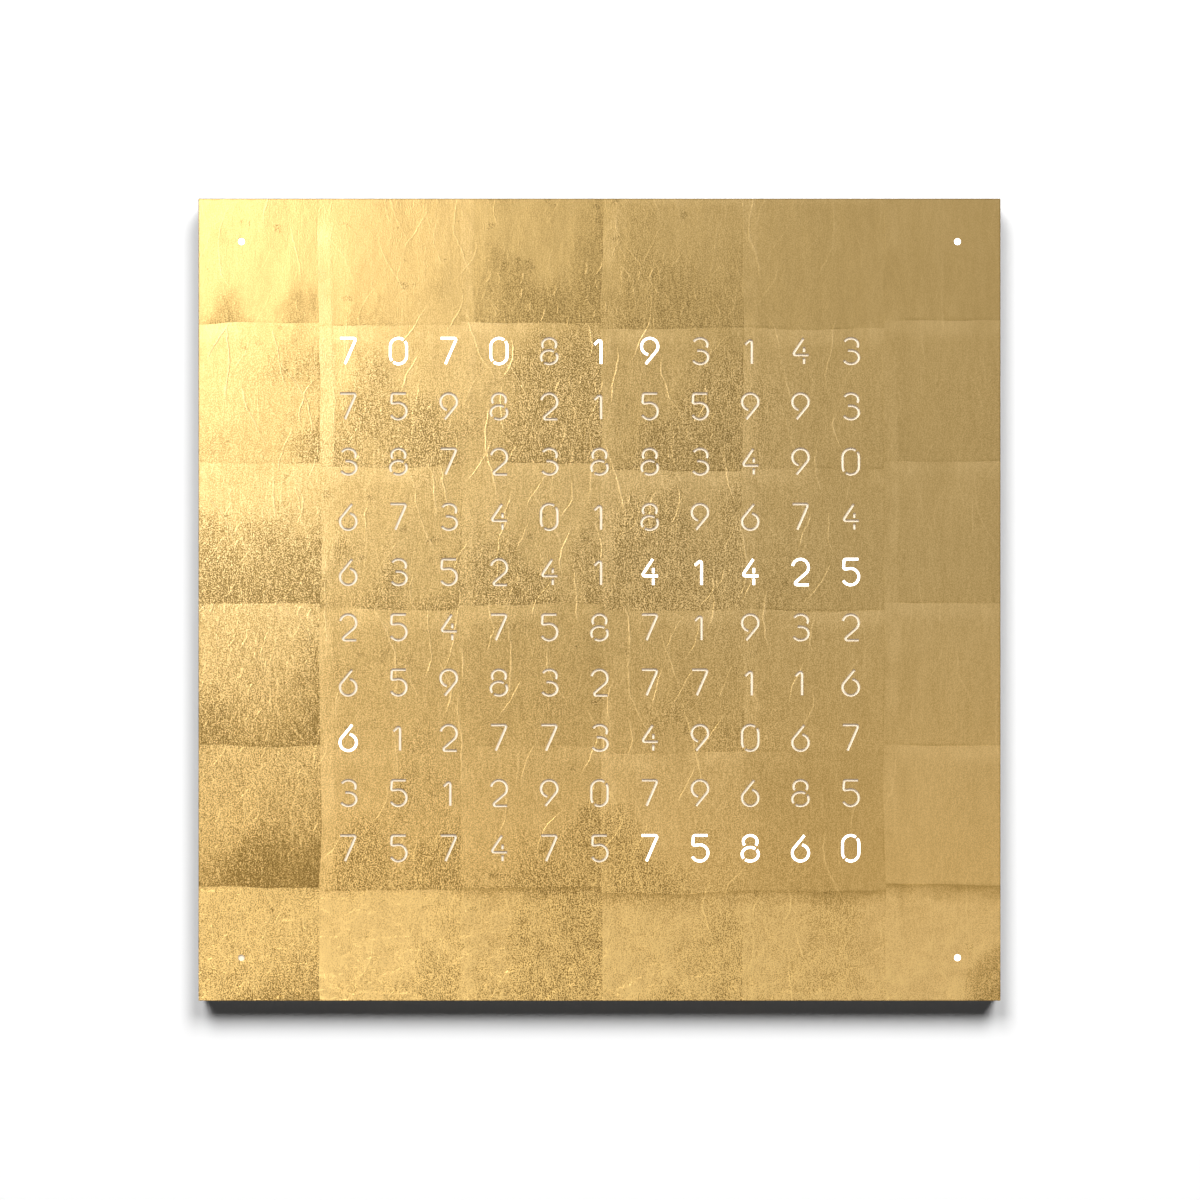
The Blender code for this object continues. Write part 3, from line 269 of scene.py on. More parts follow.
sensor_board, add, shader, place = new_finish("green solder mask with sensor", "#1b5533", 0.4)
depth = add("SeparateXYZ", place, out="Y")
raised = add("Math", depth, SMALL_PARTS, operation="LESS_THAN")
_, tone = solder_mask(add, place)
tone = add("Mix", raised, tone, "#15161a")
join(shader, Base_Color=tone)
dress(sensor_board, "sensor_board")
acrylic, add, shader, place = new_finish("clear acrylic rod", "#fbfdfd", 0.04)
shader.inputs["Transmission Weight"].default_value = 1.0
shader.inputs["IOR"].default_value = 1.49
ripple = add("TexNoise", place, Scale=0.8)
join(shader, Roughness=add("MapRange", ripple, To_Min=0.02, To_Max=0.10))
dress(acrylic, "sensor_light_guide")

# Main board and what stands on it
# Glass-epoxy board with a white header, two black-sleeved capacitors with bright tops and a black regulator.
# The controller is black epoxy with tinned legs, the cell is stainless steel in a black nylon holder.

BOARD_TOP, HEADER_SIDE = -9.35, 11.52
CAN_TOP, CANS_FROM = -4.25, 50.0
TRACK_RUN, TRACK_JOG, TRACK_PITCH, TRACK_WIDTH = 13.0, 9.0, 0.7, 0.26
main_board, add, shader, place = new_finish("green solder mask with parts", "#1b5533", 0.4)
across, depth, height = add("SeparateXYZ", place).node.outputs
block = add("Math", add("Math", across, TRACK_RUN, operation="DIVIDE"), operation="FLOOR")
jog = add("TexWhiteNoise", W=block, noise_dimensions="1D")
jog = add("Math", jog, TRACK_JOG, height, operation="MULTIPLY_ADD")
lane = add("Math", jog, TRACK_PITCH, operation="PINGPONG")
tracks = add("Math", lane, TRACK_WIDTH, operation="LESS_THAN")
routed = add("TexNoise", place, Scale=0.09, Detail=1.0)
routed = add("Math", routed, 0.5, operation="GREATER_THAN")
tracks = add("Math", tracks, routed, operation="MULTIPLY")
flat_place = add("VectorMath", place, (1.0, 0.0, 1.0), operation="MULTIPLY")
via = add("TexVoronoi", flat_place, Scale=0.22)
via = add("Math", via, 0.09, operation="LESS_THAN")
_, tone = solder_mask(add, place)
tone = add("Mix", tracks, tone, "#2f7a49")
tone = add("Mix", via, tone, "#c9c6b4")
above = add("Math", depth, BOARD_TOP, operation="GREATER_THAN")
right_of = add("Math", across, HEADER_SIDE, operation="GREATER_THAN")
fitted = add("Mix", right_of, "#e6e2d6", "#141416")
can_top = add("Math", depth, CAN_TOP, operation="GREATER_THAN")
beyond = add("Math", across, CANS_FROM, operation="GREATER_THAN")
can_top = add("Math", can_top, beyond, operation="MULTIPLY")
fitted = add("Mix", can_top, fitted, "#c4c6c8")
tone = add("Mix", above, tone, fitted)
join(shader, Base_Color=tone, Metallic=can_top)
dress(main_board, "main_board")

CHIP_HEIGHT, CHIP_HALF = -197.45, 3.76
epoxy, add, shader, place = new_finish("black epoxy with tinned legs", "#17181a", 0.5)
height = add("SeparateXYZ", place, out="Z")
from_middle = add("Math", height, -CHIP_HEIGHT, operation="ADD")
from_middle = add("Math", from_middle, operation="ABSOLUTE")
leg = add("Math", from_middle, CHIP_HALF, operation="GREATER_THAN")
tone = add("Mix", leg, "#17181a", "#c9cacb")
join(shader, Base_Color=tone, Metallic=leg)
dress(epoxy, "microcontroller")

stainless, add, shader, place = new_finish("rolled stainless steel", "#c2c3c3", 0.3, 1.0)
rolled = add("VectorMath", place, (0.08, 1.0, 4.0), operation="MULTIPLY")
streaks = add("TexNoise", rolled, Scale=1.5, Detail=4.0)
gloss = add("MapRange", streaks, To_Min=0.22, To_Max=0.42)
bump = add("Bump", Strength=0.2, Distance=0.02 * MM, Height=streaks)
join(shader, Roughness=gloss, Normal=bump)
dress(stainless, "coin_cell", "switch_hour", "switch_minute", "switch_mode")

nylon, add, shader, place = new_finish("black moulded nylon", "#19191b", 0.5)
grain = add("TexNoise", place, Scale=3.0, Detail=3.0)
tone = add("Mix", grain, "#151517", "#212124")
bump = add("Bump", Strength=0.35, Distance=0.05 * MM, Height=grain)
join(shader, Base_Color=tone, Normal=bump)
dress(nylon, "coin_cell_holder")

INLET_X, INLET_LEVEL, PIN_RADIUS = 80.0, -8.3, 1.15
inlet, add, shader, place = new_finish("black PBT with a plated pin", "#18181a", 0.42)
across, depth, _ = add("SeparateXYZ", place).node.outputs
from_pin = add("CombineXYZ", add("Math", across, -INLET_X), add("Math", depth, -INLET_LEVEL))
distance = add("VectorMath", from_pin, operation="LENGTH")
pin = add("Math", distance, PIN_RADIUS, operation="LESS_THAN")
grain = add("TexNoise", place, Scale=3.0)
tone = add("Mix", pin, "#18181a", "#cbc8bf")
bump = add("Bump", Strength=0.3, Distance=0.04 * MM, Height=grain)
join(shader, Base_Color=tone, Metallic=pin, Normal=bump)
dress(inlet, "dc_inlet")

# Button caps
# Three black nylon caps, moulded with a dished crown. Each has a collar that keeps it under the rear cover.


def add_piece(name, points, faces, body, finishes, replaces, face_finish=None):
    """Puts points and faces into a mesh, smooth but for edges over 30 degrees, and fits it to its body."""
    mesh = bpy.data.meshes.new(name)
    mesh.from_pydata(np.asarray(points).tolist(), [], faces)
    for finish in finishes:
        mesh.materials.append(finish)
    if face_finish is not None:
        mesh.polygons.foreach_set("material_index", np.asarray(face_finish, dtype=np.int32))
    mesh.shade_smooth()
    mesh.set_sharp_from_angle(angle=np.radians(30))
    piece = bpy.data.objects.new(name, mesh)
    bpy.context.scene.collection.objects.link(piece)
    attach(piece, body)
    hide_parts(replaces)
    return piece


def turned(profile, centre, directions):
    """A profile of (level on Y, radius) carried round an axis: a ring is its radius times the directions.

    The first and last profile points have no radius, and close the ends as single points.
    """
    profile = np.array(profile, dtype=float)
    rings = profile[1:-1]
    count = len(directions)
    points = np.empty((len(rings), count, 3))
    points[:, :, 0] = centre[0] + rings[:, 1:2] * directions[:, 0]
    points[:, :, 1] = rings[:, 0:1]
    points[:, :, 2] = centre[1] + rings[:, 1:2] * directions[:, 1]
    ends = [(centre[0], profile[0, 0], centre[1]), (centre[0], profile[-1, 0], centre[1])]
    here = np.arange(count)
    after = (here + 1) % count
    row = np.arange(len(rings) - 1)[:, None] * count
    walls = np.stack([row + here, row + count + here, row + count + after, row + after], axis=-1)
    first, last = points.shape[0] * count, points.shape[0] * count + 1
    base = (len(rings) - 1) * count
    caps = [(first, int(a), int(b)) for a, b in zip(here, after)]
    caps += [(last, int(base + b), int(base + a)) for a, b in zip(here, after)]
    return np.vstack([points.reshape(-1, 3), ends]), walls.reshape(-1, 4).tolist() + caps


angle = np.linspace(0, 2 * np.pi, 64, endpoint=False)
round_directions = np.column_stack([np.cos(angle), np.sin(angle)])
BUTTON_HEIGHT = -195.95
BUTTONS = {"hour": -70, "minute": -52, "mode": -34}
crown = [(-0.62, 4.5), (-0.54, 4.42), (-0.50, 4.3), (-0.52, 4.0), (-0.62, 3.0), (-0.72, 1.6), (-0.78, 0.4)]
cap_profile = [(-7.1, 0), (-7.1, 1.3), (-6.9, 1.6), (-5.1, 1.6), (-5.1, 5.9), (-5.0, 6.0), (-3.9, 6.0),
               (-3.8, 5.9), (-3.8, 4.5), *crown, (-0.78, 0)]
for name, x in BUTTONS.items():
    points, faces = turned(np.array(cap_profile) * MM, (x * MM, BUTTON_HEIGHT * MM), round_directions)
    add_piece(f"button_cap_{name}", points, faces, f"button_{name}", [nylon],
              f"button_{name}")

# Rear cover
# Pressed from 1.5 mm steel sheet, pierced for the caps and the plug, and powder coated in black with a
# fine texture.

powder, add, shader, place = new_finish("fine-textured black powder coat", "#202124", 0.55)
pebble = add("TexVoronoi", place, Scale=1.6, feature="SMOOTH_F1")
cloud = add("TexNoise", place, Scale=0.05, Detail=2.0)
tone = add("Mix", cloud, "#1c1d20", "#27282b")
gloss = add("MapRange", pebble, To_Min=0.45, To_Max=0.65)
bump = add("Bump", Strength=0.5, Distance=0.10 * MM, Height=pebble)
join(shader, Base_Color=tone, Roughness=gloss, Normal=bump)


def bend(centre, radii, start, stop, step=6):
    """An arc of an ellipse: its centre plus its radii times the cosine and sine of an angle in degrees."""
    angle = np.radians(np.linspace(start, stop, int(abs(stop - start) / step) + 2))
    return np.column_stack([centre[0] + radii[0] * np.cos(angle), centre[1] + radii[1] * np.sin(angle)])


def round_hole(centre, radius):
    """A circle, run clockwise."""
    return bend(centre, (radius, radius), 360, 0)[:-1]


def rounded(width, height, radius, notch=None):
    """A rectangle with quarter-circle corners, run anticlockwise.

    A notch (left, right, top) may cut its lower edge.
    """
    x, z = width / 2 - radius, height / 2 - radius
    parts = [bend((a * x, b * z), (radius, radius), start, start + 90)
             for a, b, start in ((1, -1, 270), (1, 1, 0), (-1, 1, 90), (-1, -1, 180))]
    if notch:
        left, right, top = notch
        parts.append(np.array([(left, -height / 2), (left, top), (right, top), (right, -height / 2)]))
    return np.vstack(parts)


def left_normals(steps):
    """Each step at length 1, turned a quarter to the left."""
    along = steps / np.linalg.norm(steps, axis=1, keepdims=True)
    return np.column_stack([-along[:, 1], along[:, 0]])


def mitres(before, after):
    """The moves of corners whose two edges move by 1: the normals' sum over 1 plus their product."""
    return (before + after) / (1 + np.sum(before * after, axis=1, keepdims=True))


def sheet(outline, holes, front, back, breaks):
    """A flat sheet in X and Z, pierced by holes, with its edges broken at both faces. It is given in mm.

    Each loop runs with the metal on its left: the outline anticlockwise, the holes clockwise. Its wall is the
    loop. At each face the loop steps into the metal, along its mitred left normal, by its (front, back) edge
    break. Both faces are filled between the stepped loops by a constrained Delaunay triangulation.
    """
    loops = [np.asarray(loop) * MM for loop in (outline, *holes)]
    front, back = front * MM, back * MM
    sizes = np.array([len(loop) for loop in loops])
    starts = np.concatenate([[0], np.cumsum(sizes)[:-1]])
    loop_of = np.repeat(np.arange(len(loops)), sizes)
    here = np.arange(sizes.sum())
    after = starts[loop_of] + (here - starts[loop_of] + 1) % sizes[loop_of]
    before = np.empty_like(after)
    before[after] = here
    flat = np.vstack(loops)
    left = left_normals(flat[after] - flat)
    mitre = mitres(left, left[before])
    steps = (np.array(breaks) * MM)[loop_of]
    levels = [(front, steps[:, 0]), (front + steps[:, 0], 0 * here),
              (back - steps[:, 1], 0 * here), (back, steps[:, 1])]
    rings = []
    for level, step in levels:
        moved = flat + mitre * np.reshape(step, (-1, 1))
        rings.append(np.column_stack([moved[:, 0], np.broadcast_to(level, here.shape), moved[:, 1]]))
    total = len(here)
    band = np.column_stack([here, here + total, after + total, after])
    walls = np.vstack([band + total * level for level in range(3)])
    rims = [list(range(start, start + size)) for start, size in zip(starts, sizes)]
    caps = []
    for ring, base, flip in ((rings[0], 0, False), (rings[3], 3 * total, True)):
        spots = [Vector((x, z)) for x, z in ring[:, (0, 2)].tolist()]
        found = delaunay_2d_cdt(spots, [], rims, 2, 1e-9)
        origin = np.array([places[0] for places in found[3]])
        fill = origin[np.array(found[2])] + base
        caps.append(fill[:, ::-1] if flip else fill)
    return np.vstack(rings), walls.tolist() + caps[0].tolist() + caps[1].tolist()


BAY_HEIGHT = -191.45
PLATE_WIDTH, PLATE_HEIGHT, PLATE_ROUND = 256, 54, 5
PLATE_FRONT, PLATE_BACK = -3.5, -2.0
NOTCH_HALF, NOTCH_TOP = 7, -204
CAP_HOLE, SCREW_HOLE = 4.8, 1.7
cover_screws = [(x, BAY_HEIGHT + z) for x in (-124, 124) for z in (-15, 15)]
plate_notch = (INLET_X - NOTCH_HALF, INLET_X + NOTCH_HALF, NOTCH_TOP - BAY_HEIGHT)
plate_outline = rounded(PLATE_WIDTH, PLATE_HEIGHT, PLATE_ROUND, plate_notch) + (0, BAY_HEIGHT)
plate_holes = [round_hole((x, BUTTON_HEIGHT), CAP_HOLE) for x in BUTTONS.values()]
plate_holes += [round_hole(spot, SCREW_HOLE) for spot in cover_screws]
breaks = [(0.15, 0.2)] * 4 + [(0.1, 1.2)] * 4
points, faces = sheet(plate_outline, plate_holes, PLATE_FRONT, PLATE_BACK, breaks)
add_piece("rear_cover_sheet", points, faces, "housing", [powder], "rear_cover")

# Hanger plates
# Two keyhole plates stamped from 2 mm steel and zinc plated.
# The zinc is a soft grey with faint crystals and rolling lines.

zinc, add, shader, place = new_finish("bright zinc plate", "#b9bcbe", 0.34, 1.0)
crystals = add("TexVoronoi", place, Scale=0.35, feature="F1", out="Color")
rolled = add("VectorMath", place, (0.1, 1.0, 3.0), operation="MULTIPLY")
streaks = add("TexNoise", rolled, Scale=1.2, Detail=4.0)
mottle = add("Math", crystals, 0.4, streaks, operation="MULTIPLY_ADD")
tone = add("Mix", mottle, "#a3a7aa", "#c7c9ca")
gloss = add("MapRange", mottle, From_Max=1.4, To_Min=0.24, To_Max=0.5)
bump = add("Bump", Strength=0.25, Distance=0.03 * MM, Height=streaks)
join(shader, Base_Color=tone, Roughness=gloss, Normal=bump)

HANGER_X, HANGER_HEIGHT = 150, 185
HANGER_SCREWS = (-22, 22)
HANGER_WIDTH, HANGER_TALL, HANGER_ROUND = 60, 24, 4
HANGER_FRONT, HANGER_BACK = -2.3, -0.3
SLOT_HALF, HOLE_RADIUS, COUNTERSINK = 2.3, 4.5, 1.9
leave = np.degrees(np.arcsin(SLOT_HALF / HOLE_RADIUS))
keyhole = np.vstack([bend((0, -4), (HOLE_RADIUS, HOLE_RADIUS), 90 - leave, leave - 270),
                     bend((0, 5), (SLOT_HALF, SLOT_HALF), 180, 0)])
breaks = [(0.2, 0.3), (0.2, 0.4), (0.1, 1.6), (0.1, 1.6)]
for side, x in (("left", -HANGER_X), ("right", HANGER_X)):
    centre = np.array((x, HANGER_HEIGHT))
    holes = [keyhole + centre, *[round_hole(centre + (reach, 0), COUNTERSINK) for reach in HANGER_SCREWS]]
    outline = rounded(HANGER_WIDTH, HANGER_TALL, HANGER_ROUND) + centre
    points, faces = sheet(outline, holes, HANGER_FRONT, HANGER_BACK, breaks)
    add_piece(f"hanger_keyhole_plate_{side}", points, faces, "housing", [zinc],
              f"hanger_plate_{side}")

# Screws
# Zinc-plated steel with rolled threads. The heads have a cross recess, and each stopped at its own angle.

ARM_LINES = np.array([0, 0.13, 0.17, 0.30, 0.45, 0.58, 0.62, 0.75, 0.90, 1.0])
ARM_HALF, ARM_REACH = 0.15, 0.60
RECESS_DEPTH, RECESS_RISE = 0.55, 0.5
THREAD_PITCH, THREAD_DEPTH = 0.42, 0.16


def grid_faces(index):
    """The quads of a grid of point numbers, and the numbers along its rim."""
    quads = np.stack([index[:-1, :-1], index[1:, :-1], index[1:, 1:], index[:-1, 1:]], axis=-1).reshape(-1, 4)
    return quads, np.concatenate([index[:-1, 0], index[-1, :-1], index[:0:-1, -1], index[0, :0:-1]])


def screw(centre, tip, radius, throat, rim, head_radius, dome, turn):
    """A screw on the Y axis. Its head is a square grid pressed into a disc, whose lines sink for the recess.

    The grid's own (s, t) gives a disc point (s sqrt(1 - t t / 2), t sqrt(1 - s s / 2)). The recess goes down
    inside the arms, where the lesser of |s| and |t| is small, and deeper towards the middle. The shank's
    radius falls by the thread's depth where turn and level are out of step: the thread winds round it.
    """
    lines = np.concatenate([-ARM_LINES[:0:-1], ARM_LINES])
    count = len(lines)
    s, t = np.meshgrid(lines, lines, indexing="ij")
    disc = np.stack([s * np.sqrt(1 - t * t / 2), t * np.sqrt(1 - s * s / 2)], axis=-1)
    reach = np.hypot(disc[..., 0], disc[..., 1])
    arm = (np.minimum(abs(s), abs(t)) < ARM_HALF) & (np.maximum(abs(s), abs(t)) < ARM_REACH)
    level = rim + dome * (1 - reach ** 2) - arm * head_radius * (RECESS_DEPTH - RECESS_RISE * reach)
    spin = np.array([[np.cos(turn), -np.sin(turn)], [np.sin(turn), np.cos(turn)]])
    disc = disc @ spin.T
    face = np.stack([centre[0] + head_radius * disc[..., 0], level,
                     centre[1] + head_radius * disc[..., 1]], axis=-1)
    quads, rim_loop = grid_faces(np.arange(count * count).reshape(count, count))
    way = disc.reshape(-1, 2)[rim_loop]
    way = way / np.linalg.norm(way, axis=1, keepdims=True)
    phase = np.arctan2(way[:, 1], way[:, 0]) / (2 * np.pi)
    pitch = THREAD_PITCH * radius * 2
    wound = np.arange(throat - 0.4 * radius, tip + radius, -pitch / 4)
    levels = np.concatenate([[throat], wound, [tip + radius]])
    thread = THREAD_DEPTH * radius * (1 - abs(2 * ((levels[:, None] / pitch + phase) % 1) - 1))
    thread[0] = 0
    size = radius - thread
    rings = np.stack([centre[0] + size * way[:, 0], np.broadcast_to(levels[:, None], size.shape),
                      centre[1] + size * way[:, 1]], axis=-1)
    points = np.vstack([face.reshape(-1, 3), rings.reshape(-1, 3), [(centre[0], tip, centre[1])]])
    loops = np.vstack([rim_loop, count * count + np.arange(size.size).reshape(size.shape)])
    following = np.roll(loops, -1, axis=1)
    shank = np.stack([loops[:-1], following[:-1], following[1:], loops[1:]], axis=-1).reshape(-1, 4)
    end = [(int(a), int(b), len(points) - 1) for a, b in zip(loops[-1], following[-1])]
    return points, quads[:, ::-1].tolist() + shank.tolist() + end


hanger_screws = [(side * HANGER_X + reach, HANGER_HEIGHT) for side in (-1, 1) for reach in HANGER_SCREWS]
board_screws = [(x, BAY_HEIGHT + z) for x in (-97, 97) for z in (-14, 14)]
# For each kind: where they stand, then tip, radius, throat, rim, head radius and dome in mm.
SCREW_KINDS = {
    "rear_cover_screw": (cover_screws, (-11.0, 1.4, -3.3, -2.0, 2.7, 0.0)),
    "hanger_screw": (hanger_screws, (-10.3, 1.6, -2.0, -0.3, 3.3, 0.0)),
    "main_board_screw": (board_screws, (-15.4, 1.3, -9.1, -8.9, 2.5, 1.3)),
}
for kind, (places, sizes) in SCREW_KINDS.items():
    for number, (x, z) in enumerate(places, 1):
        turn = 1.9 * number + 0.4 * len(kind)
        points, faces = screw((x * MM, z * MM), *[size * MM for size in sizes], turn)
        add_piece(f"{kind}_cross_{number}", points, faces, "housing", [zinc],
                  f"{kind}_{number}")

# Locating studs
# Two turned steel studs, welded to the sheet's back, with the fine rings of the lathe tool.

turned_steel, add, shader, place = new_finish("turned steel", "#b4b5b6", 0.3, 1.0)
along = add("SeparateXYZ", place, out="Y")
rings = add("Math", add("Math", along, 25.0, operation="MULTIPLY"), operation="SINE")
bump = add("Bump", Strength=0.3, Distance=0.02 * MM, Height=rings)
gloss = add("MapRange", rings, -1.0, To_Min=0.22, To_Max=0.36)
join(shader, Roughness=gloss, Normal=bump)
stud = np.array([(-18.7, 0), (-18.7, 2.5), (-11.5, 2.5), (-10.7, 1.7), (-10.7, 0)]) * MM
STUD_X = 192
for side, x in (("left", -STUD_X), ("right", STUD_X)):
    points, faces = turned(stud[::-1], (x * MM, 0), round_directions[::-1])
    add_piece(f"locating_stud_turned_{side}", points, faces, "front_cover", [turned_steel],
              f"locating_stud_{side}")

# Opal dial sheet
# Cast opal acrylic on the back of the cover.
# Lit cells shine through it almost evenly; the others get a faint cream glow, painted light that lifts their
# shade.

LIT_CELLS = {(0, 0), (0, 1), (0, 2), (0, 3), (0, 5), (0, 6), (4, 6), (4, 7), (4, 8), (4, 9), (4, 10), (7, 0),
             (9, 6), (9, 7), (9, 8), (9, 9), (9, 10)}
LIT_STRENGTH = 3.2
# The unlit cells' faint cream glow is painted light: no LED lights them.
UNLIT_PAINTED_GLOW = 0.225


def opal_finish(name, glow):
    """Opal acrylic whose glow, from 0 to 1, moves its light from a faint painted cream glow to full white."""
    finish, add, shader, place = new_finish(name, "#f7e8cd", 0.45)
    if glow is None:
        glow = add("Attribute", attribute_name="glow", out="Fac")
        # At 0 the glow is painted light, a faint cream where the LED is off.
        strength = add("MapRange", glow, To_Min=UNLIT_PAINTED_GLOW, To_Max=LIT_STRENGTH)
        tint = add("Mix", glow, "#ffe2c4", "#ffffff")
        join(shader, Emission_Color=tint, Emission_Strength=strength)
    else:
        # Unlit, the finish gets the same painted cream glow.
        shader.inputs["Emission Color"].default_value = linear("#ffffff" if glow else "#ffe2c4")
        shader.inputs["Emission Strength"].default_value = LIT_STRENGTH if glow else UNLIT_PAINTED_GLOW
    cloud = add("TexNoise", place, Scale=0.15, Detail=2.0)
    join(shader, Base_Color=add("Mix", cloud, "#f3e4c8", "#faecd2"))
    return finish


STEPS = 8
OPAL_HALF_X, OPAL_HALF_Z, OPAL_ROUND = 157.5, 157.4, 5
OPAL_FRONT, OPAL_THICK = -18.7, 1.0
LIGHT_FADE = 0.15
columns = (np.arange(COLUMNS * STEPS + 1) / STEPS - COLUMNS / 2) * COLUMN_PITCH
rows = (np.arange(ROWS * STEPS + 1) / STEPS - ROWS / 2) * ROW_PITCH
x, z = np.meshgrid([-OPAL_HALF_X, *columns, OPAL_HALF_X], [-OPAL_HALF_Z, *rows, OPAL_HALF_Z], indexing="ij")
inner_x, inner_z = OPAL_HALF_X - OPAL_ROUND, OPAL_HALF_Z - OPAL_ROUND
corner_x, corner_z = np.clip(abs(x) - inner_x, 0, None), np.clip(abs(z) - inner_z, 0, None)
past = np.maximum(np.hypot(corner_x, corner_z) / OPAL_ROUND, 1)
x = np.sign(x) * (np.minimum(abs(x), inner_x) + corner_x / past)
z = np.sign(z) * (np.minimum(abs(z), inner_z) + corner_z / past)
column = np.clip(np.floor(x / COLUMN_PITCH + COLUMNS / 2), 0, COLUMNS - 1).astype(int)
row = np.clip(np.floor(ROWS / 2 - z / ROW_PITCH), 0, ROWS - 1).astype(int)
lit = np.zeros((ROWS, COLUMNS))
lit[tuple(np.array(sorted(LIT_CELLS)).T)] = 1
off_x = 2 * abs(x / COLUMN_PITCH - column + MIDDLE_COLUMN)
off_z = 2 * abs(z / ROW_PITCH + row - MIDDLE_ROW)
glow = lit[row, column] * np.clip((1 - np.maximum(off_x, off_z)) / LIGHT_FADE, 0, 1)
front_face = np.stack([x * MM, np.full_like(x, OPAL_FRONT * MM), z * MM], axis=-1).reshape(-1, 3)
back_face = front_face + (0, OPAL_THICK * MM, 0)
total = x.size
quads, edge = grid_faces(np.arange(total).reshape(x.shape))
edge_after = np.roll(edge, -1)
side = np.column_stack([edge, edge + total, edge_after + total, edge_after])
faces = quads.tolist() + (quads[:, ::-1] + total).tolist() + side.tolist()
opal_sheet = add_piece("opal_dial_sheet", np.vstack([front_face, back_face]), faces, "front_cover",
                       [opal_finish("cast opal acrylic", None)], "diffuser_sheet")
shine = opal_sheet.data.attributes.new("glow", "FLOAT", "POINT")
shine.data.foreach_set("value", np.concatenate([glow.ravel(), 0 * glow.ravel()]))
lit_opal = opal_finish("cast opal acrylic, lit", 1.0)
dress(lit_opal, "corner_diffuser_top_left", "corner_diffuser_top_right", "corner_diffuser_bottom_right")
# The bottom-left corner is unlit and gets only the painted cream glow.
dress(opal_finish("cast opal acrylic, unlit, painted glow", 0.0), "corner_diffuser_bottom_left")

# Front cover
# A 1 mm steel sheet, laser-pierced with 110 stencil numerals and four corner holes, then laid with leaf.
# The leaf is beaten thin: its squares overlap in bands, crease as they are laid, and take a grain from the
# ground.

PATH_RADIUS = 0.95
STROKE = 1.4
SLIGHT_BEND = 25
SCATTER = 0.754877
CORNER_HOLE = 1.85
FACE_HALF = 225
SHEET_FRONT, SHEET_BACK = -20, -19
EDGE_BREAK, CUT_BREAK = (0.2, 0.1), (0.08, 0.05)


def soften(path):
    """Rounds each sharp bend of a path with an arc that touches both its sides. Slight bends stay."""
    path = np.asarray(path, dtype=float)
    parts = [path[:1]]
    for before, corner, after in zip(path, path[1:], path[2:]):
        arrive, depart = corner - before, after - corner
        arrive, depart = arrive / np.hypot(*arrive), depart / np.hypot(*depart)
        turn = np.arctan2(arrive[0] * depart[1] - arrive[1] * depart[0], arrive @ depart)
        if abs(turn) < np.radians(SLIGHT_BEND):
            parts.append(corner[None])
            continue
        side = np.sign(turn)
        centre = corner - arrive * PATH_RADIUS * np.tan(abs(turn) / 2)
        centre = centre + side * PATH_RADIUS * np.array((-arrive[1], arrive[0]))
        first = np.degrees(np.arctan2(arrive[1], arrive[0])) - 90 * side
        parts.append(bend(centre, (PATH_RADIUS, PATH_RADIUS), first, first + np.degrees(turn), 18))
    return np.vstack([*parts, path[-1:]])


def ribbon(path):
    """The clockwise outline of a stroke: its path moved left by half its width, then back along the right."""
    left = left_normals(np.diff(path, axis=0))
    mitre = mitres(np.vstack([left[:1], left]), np.vstack([left, left[-1:]]))
    return np.vstack([path + mitre * STROKE / 2, (path - mitre * STROKE / 2)[::-1]])


half_nought = np.vstack([bend((0, 2.6), (4.6, 4.6), 52.5, 180), bend((0, -2.6), (4.6, 4.6), 180, 217.5)])
six = np.vstack([[(2.2, 7.2)], bend((0, -2.6), (4.6, 4.6), 153, 438)])
NUMERALS = [
    [half_nought, -half_nought],
    [soften([(-2.8, 3.7), (0.9, 7.2), (0.9, -7.2)])],
    [soften(np.vstack([bend((0, 2.6), (4.5, 4.6), 168, -38), [(-4.5, -7.2), (4.6, -7.2)]]))],
    [bend((0.1, 3.75), (4.1, 3.45), 152, -30),
     np.vstack([[(-1.6, 0.34)], bend((0.1, -3.43), (4.5, 3.77), 90, -152)])],
    [soften([(1.7, 7.2), (-4.6, -2.2), (4.6, -2.2)]), np.array([(2.0, 2.2), (2.0, -0.6)]),
     np.array([(2.0, -3.8), (2.0, -7.2)])],
    [soften(np.vstack([[(4.2, 7.2), (-3.7, 7.2), (-4.1, 1.6)], bend((-0.1, -2.6), (4.6, 4.6), 106, -152)]))],
    [six],
    [soften([(-4.5, 7.2), (4.5, 7.2), (-1.8, -7.2)])],
    [bend((0, 3.75), (3.9, 3.45), -36, 216), bend((0, -3.35), (4.6, 3.85), 53, 217),
     bend((0, -3.35), (4.6, 3.85), 233, 397)],
    [-six],
]
cuts = []
for row in range(ROWS):
    for column in range(COLUMNS):
        centre = np.array(((column - MIDDLE_COLUMN) * COLUMN_PITCH, (MIDDLE_ROW - row) * ROW_PITCH))
        scatter = SCATTER * (COLUMNS * row + column + 1) ** 2
        cuts += [ribbon(path) + centre for path in NUMERALS[int(10 * (scatter % 1))]]
cuts += [round_hole((CORNER_LIGHT * a, CORNER_LIGHT * b), CORNER_HOLE) for a in (-1, 1) for b in (-1, 1)]
square = np.array([(-1, -1), (1, -1), (1, 1), (-1, 1)]) * FACE_HALF
points, faces = sheet(square, cuts, SHEET_FRONT, SHEET_BACK, [EDGE_BREAK] + [CUT_BREAK] * len(cuts))

leaf, add, shader, place = new_finish("hand-laid gold leaf", "#cbae6f", 0.38, 1.0)
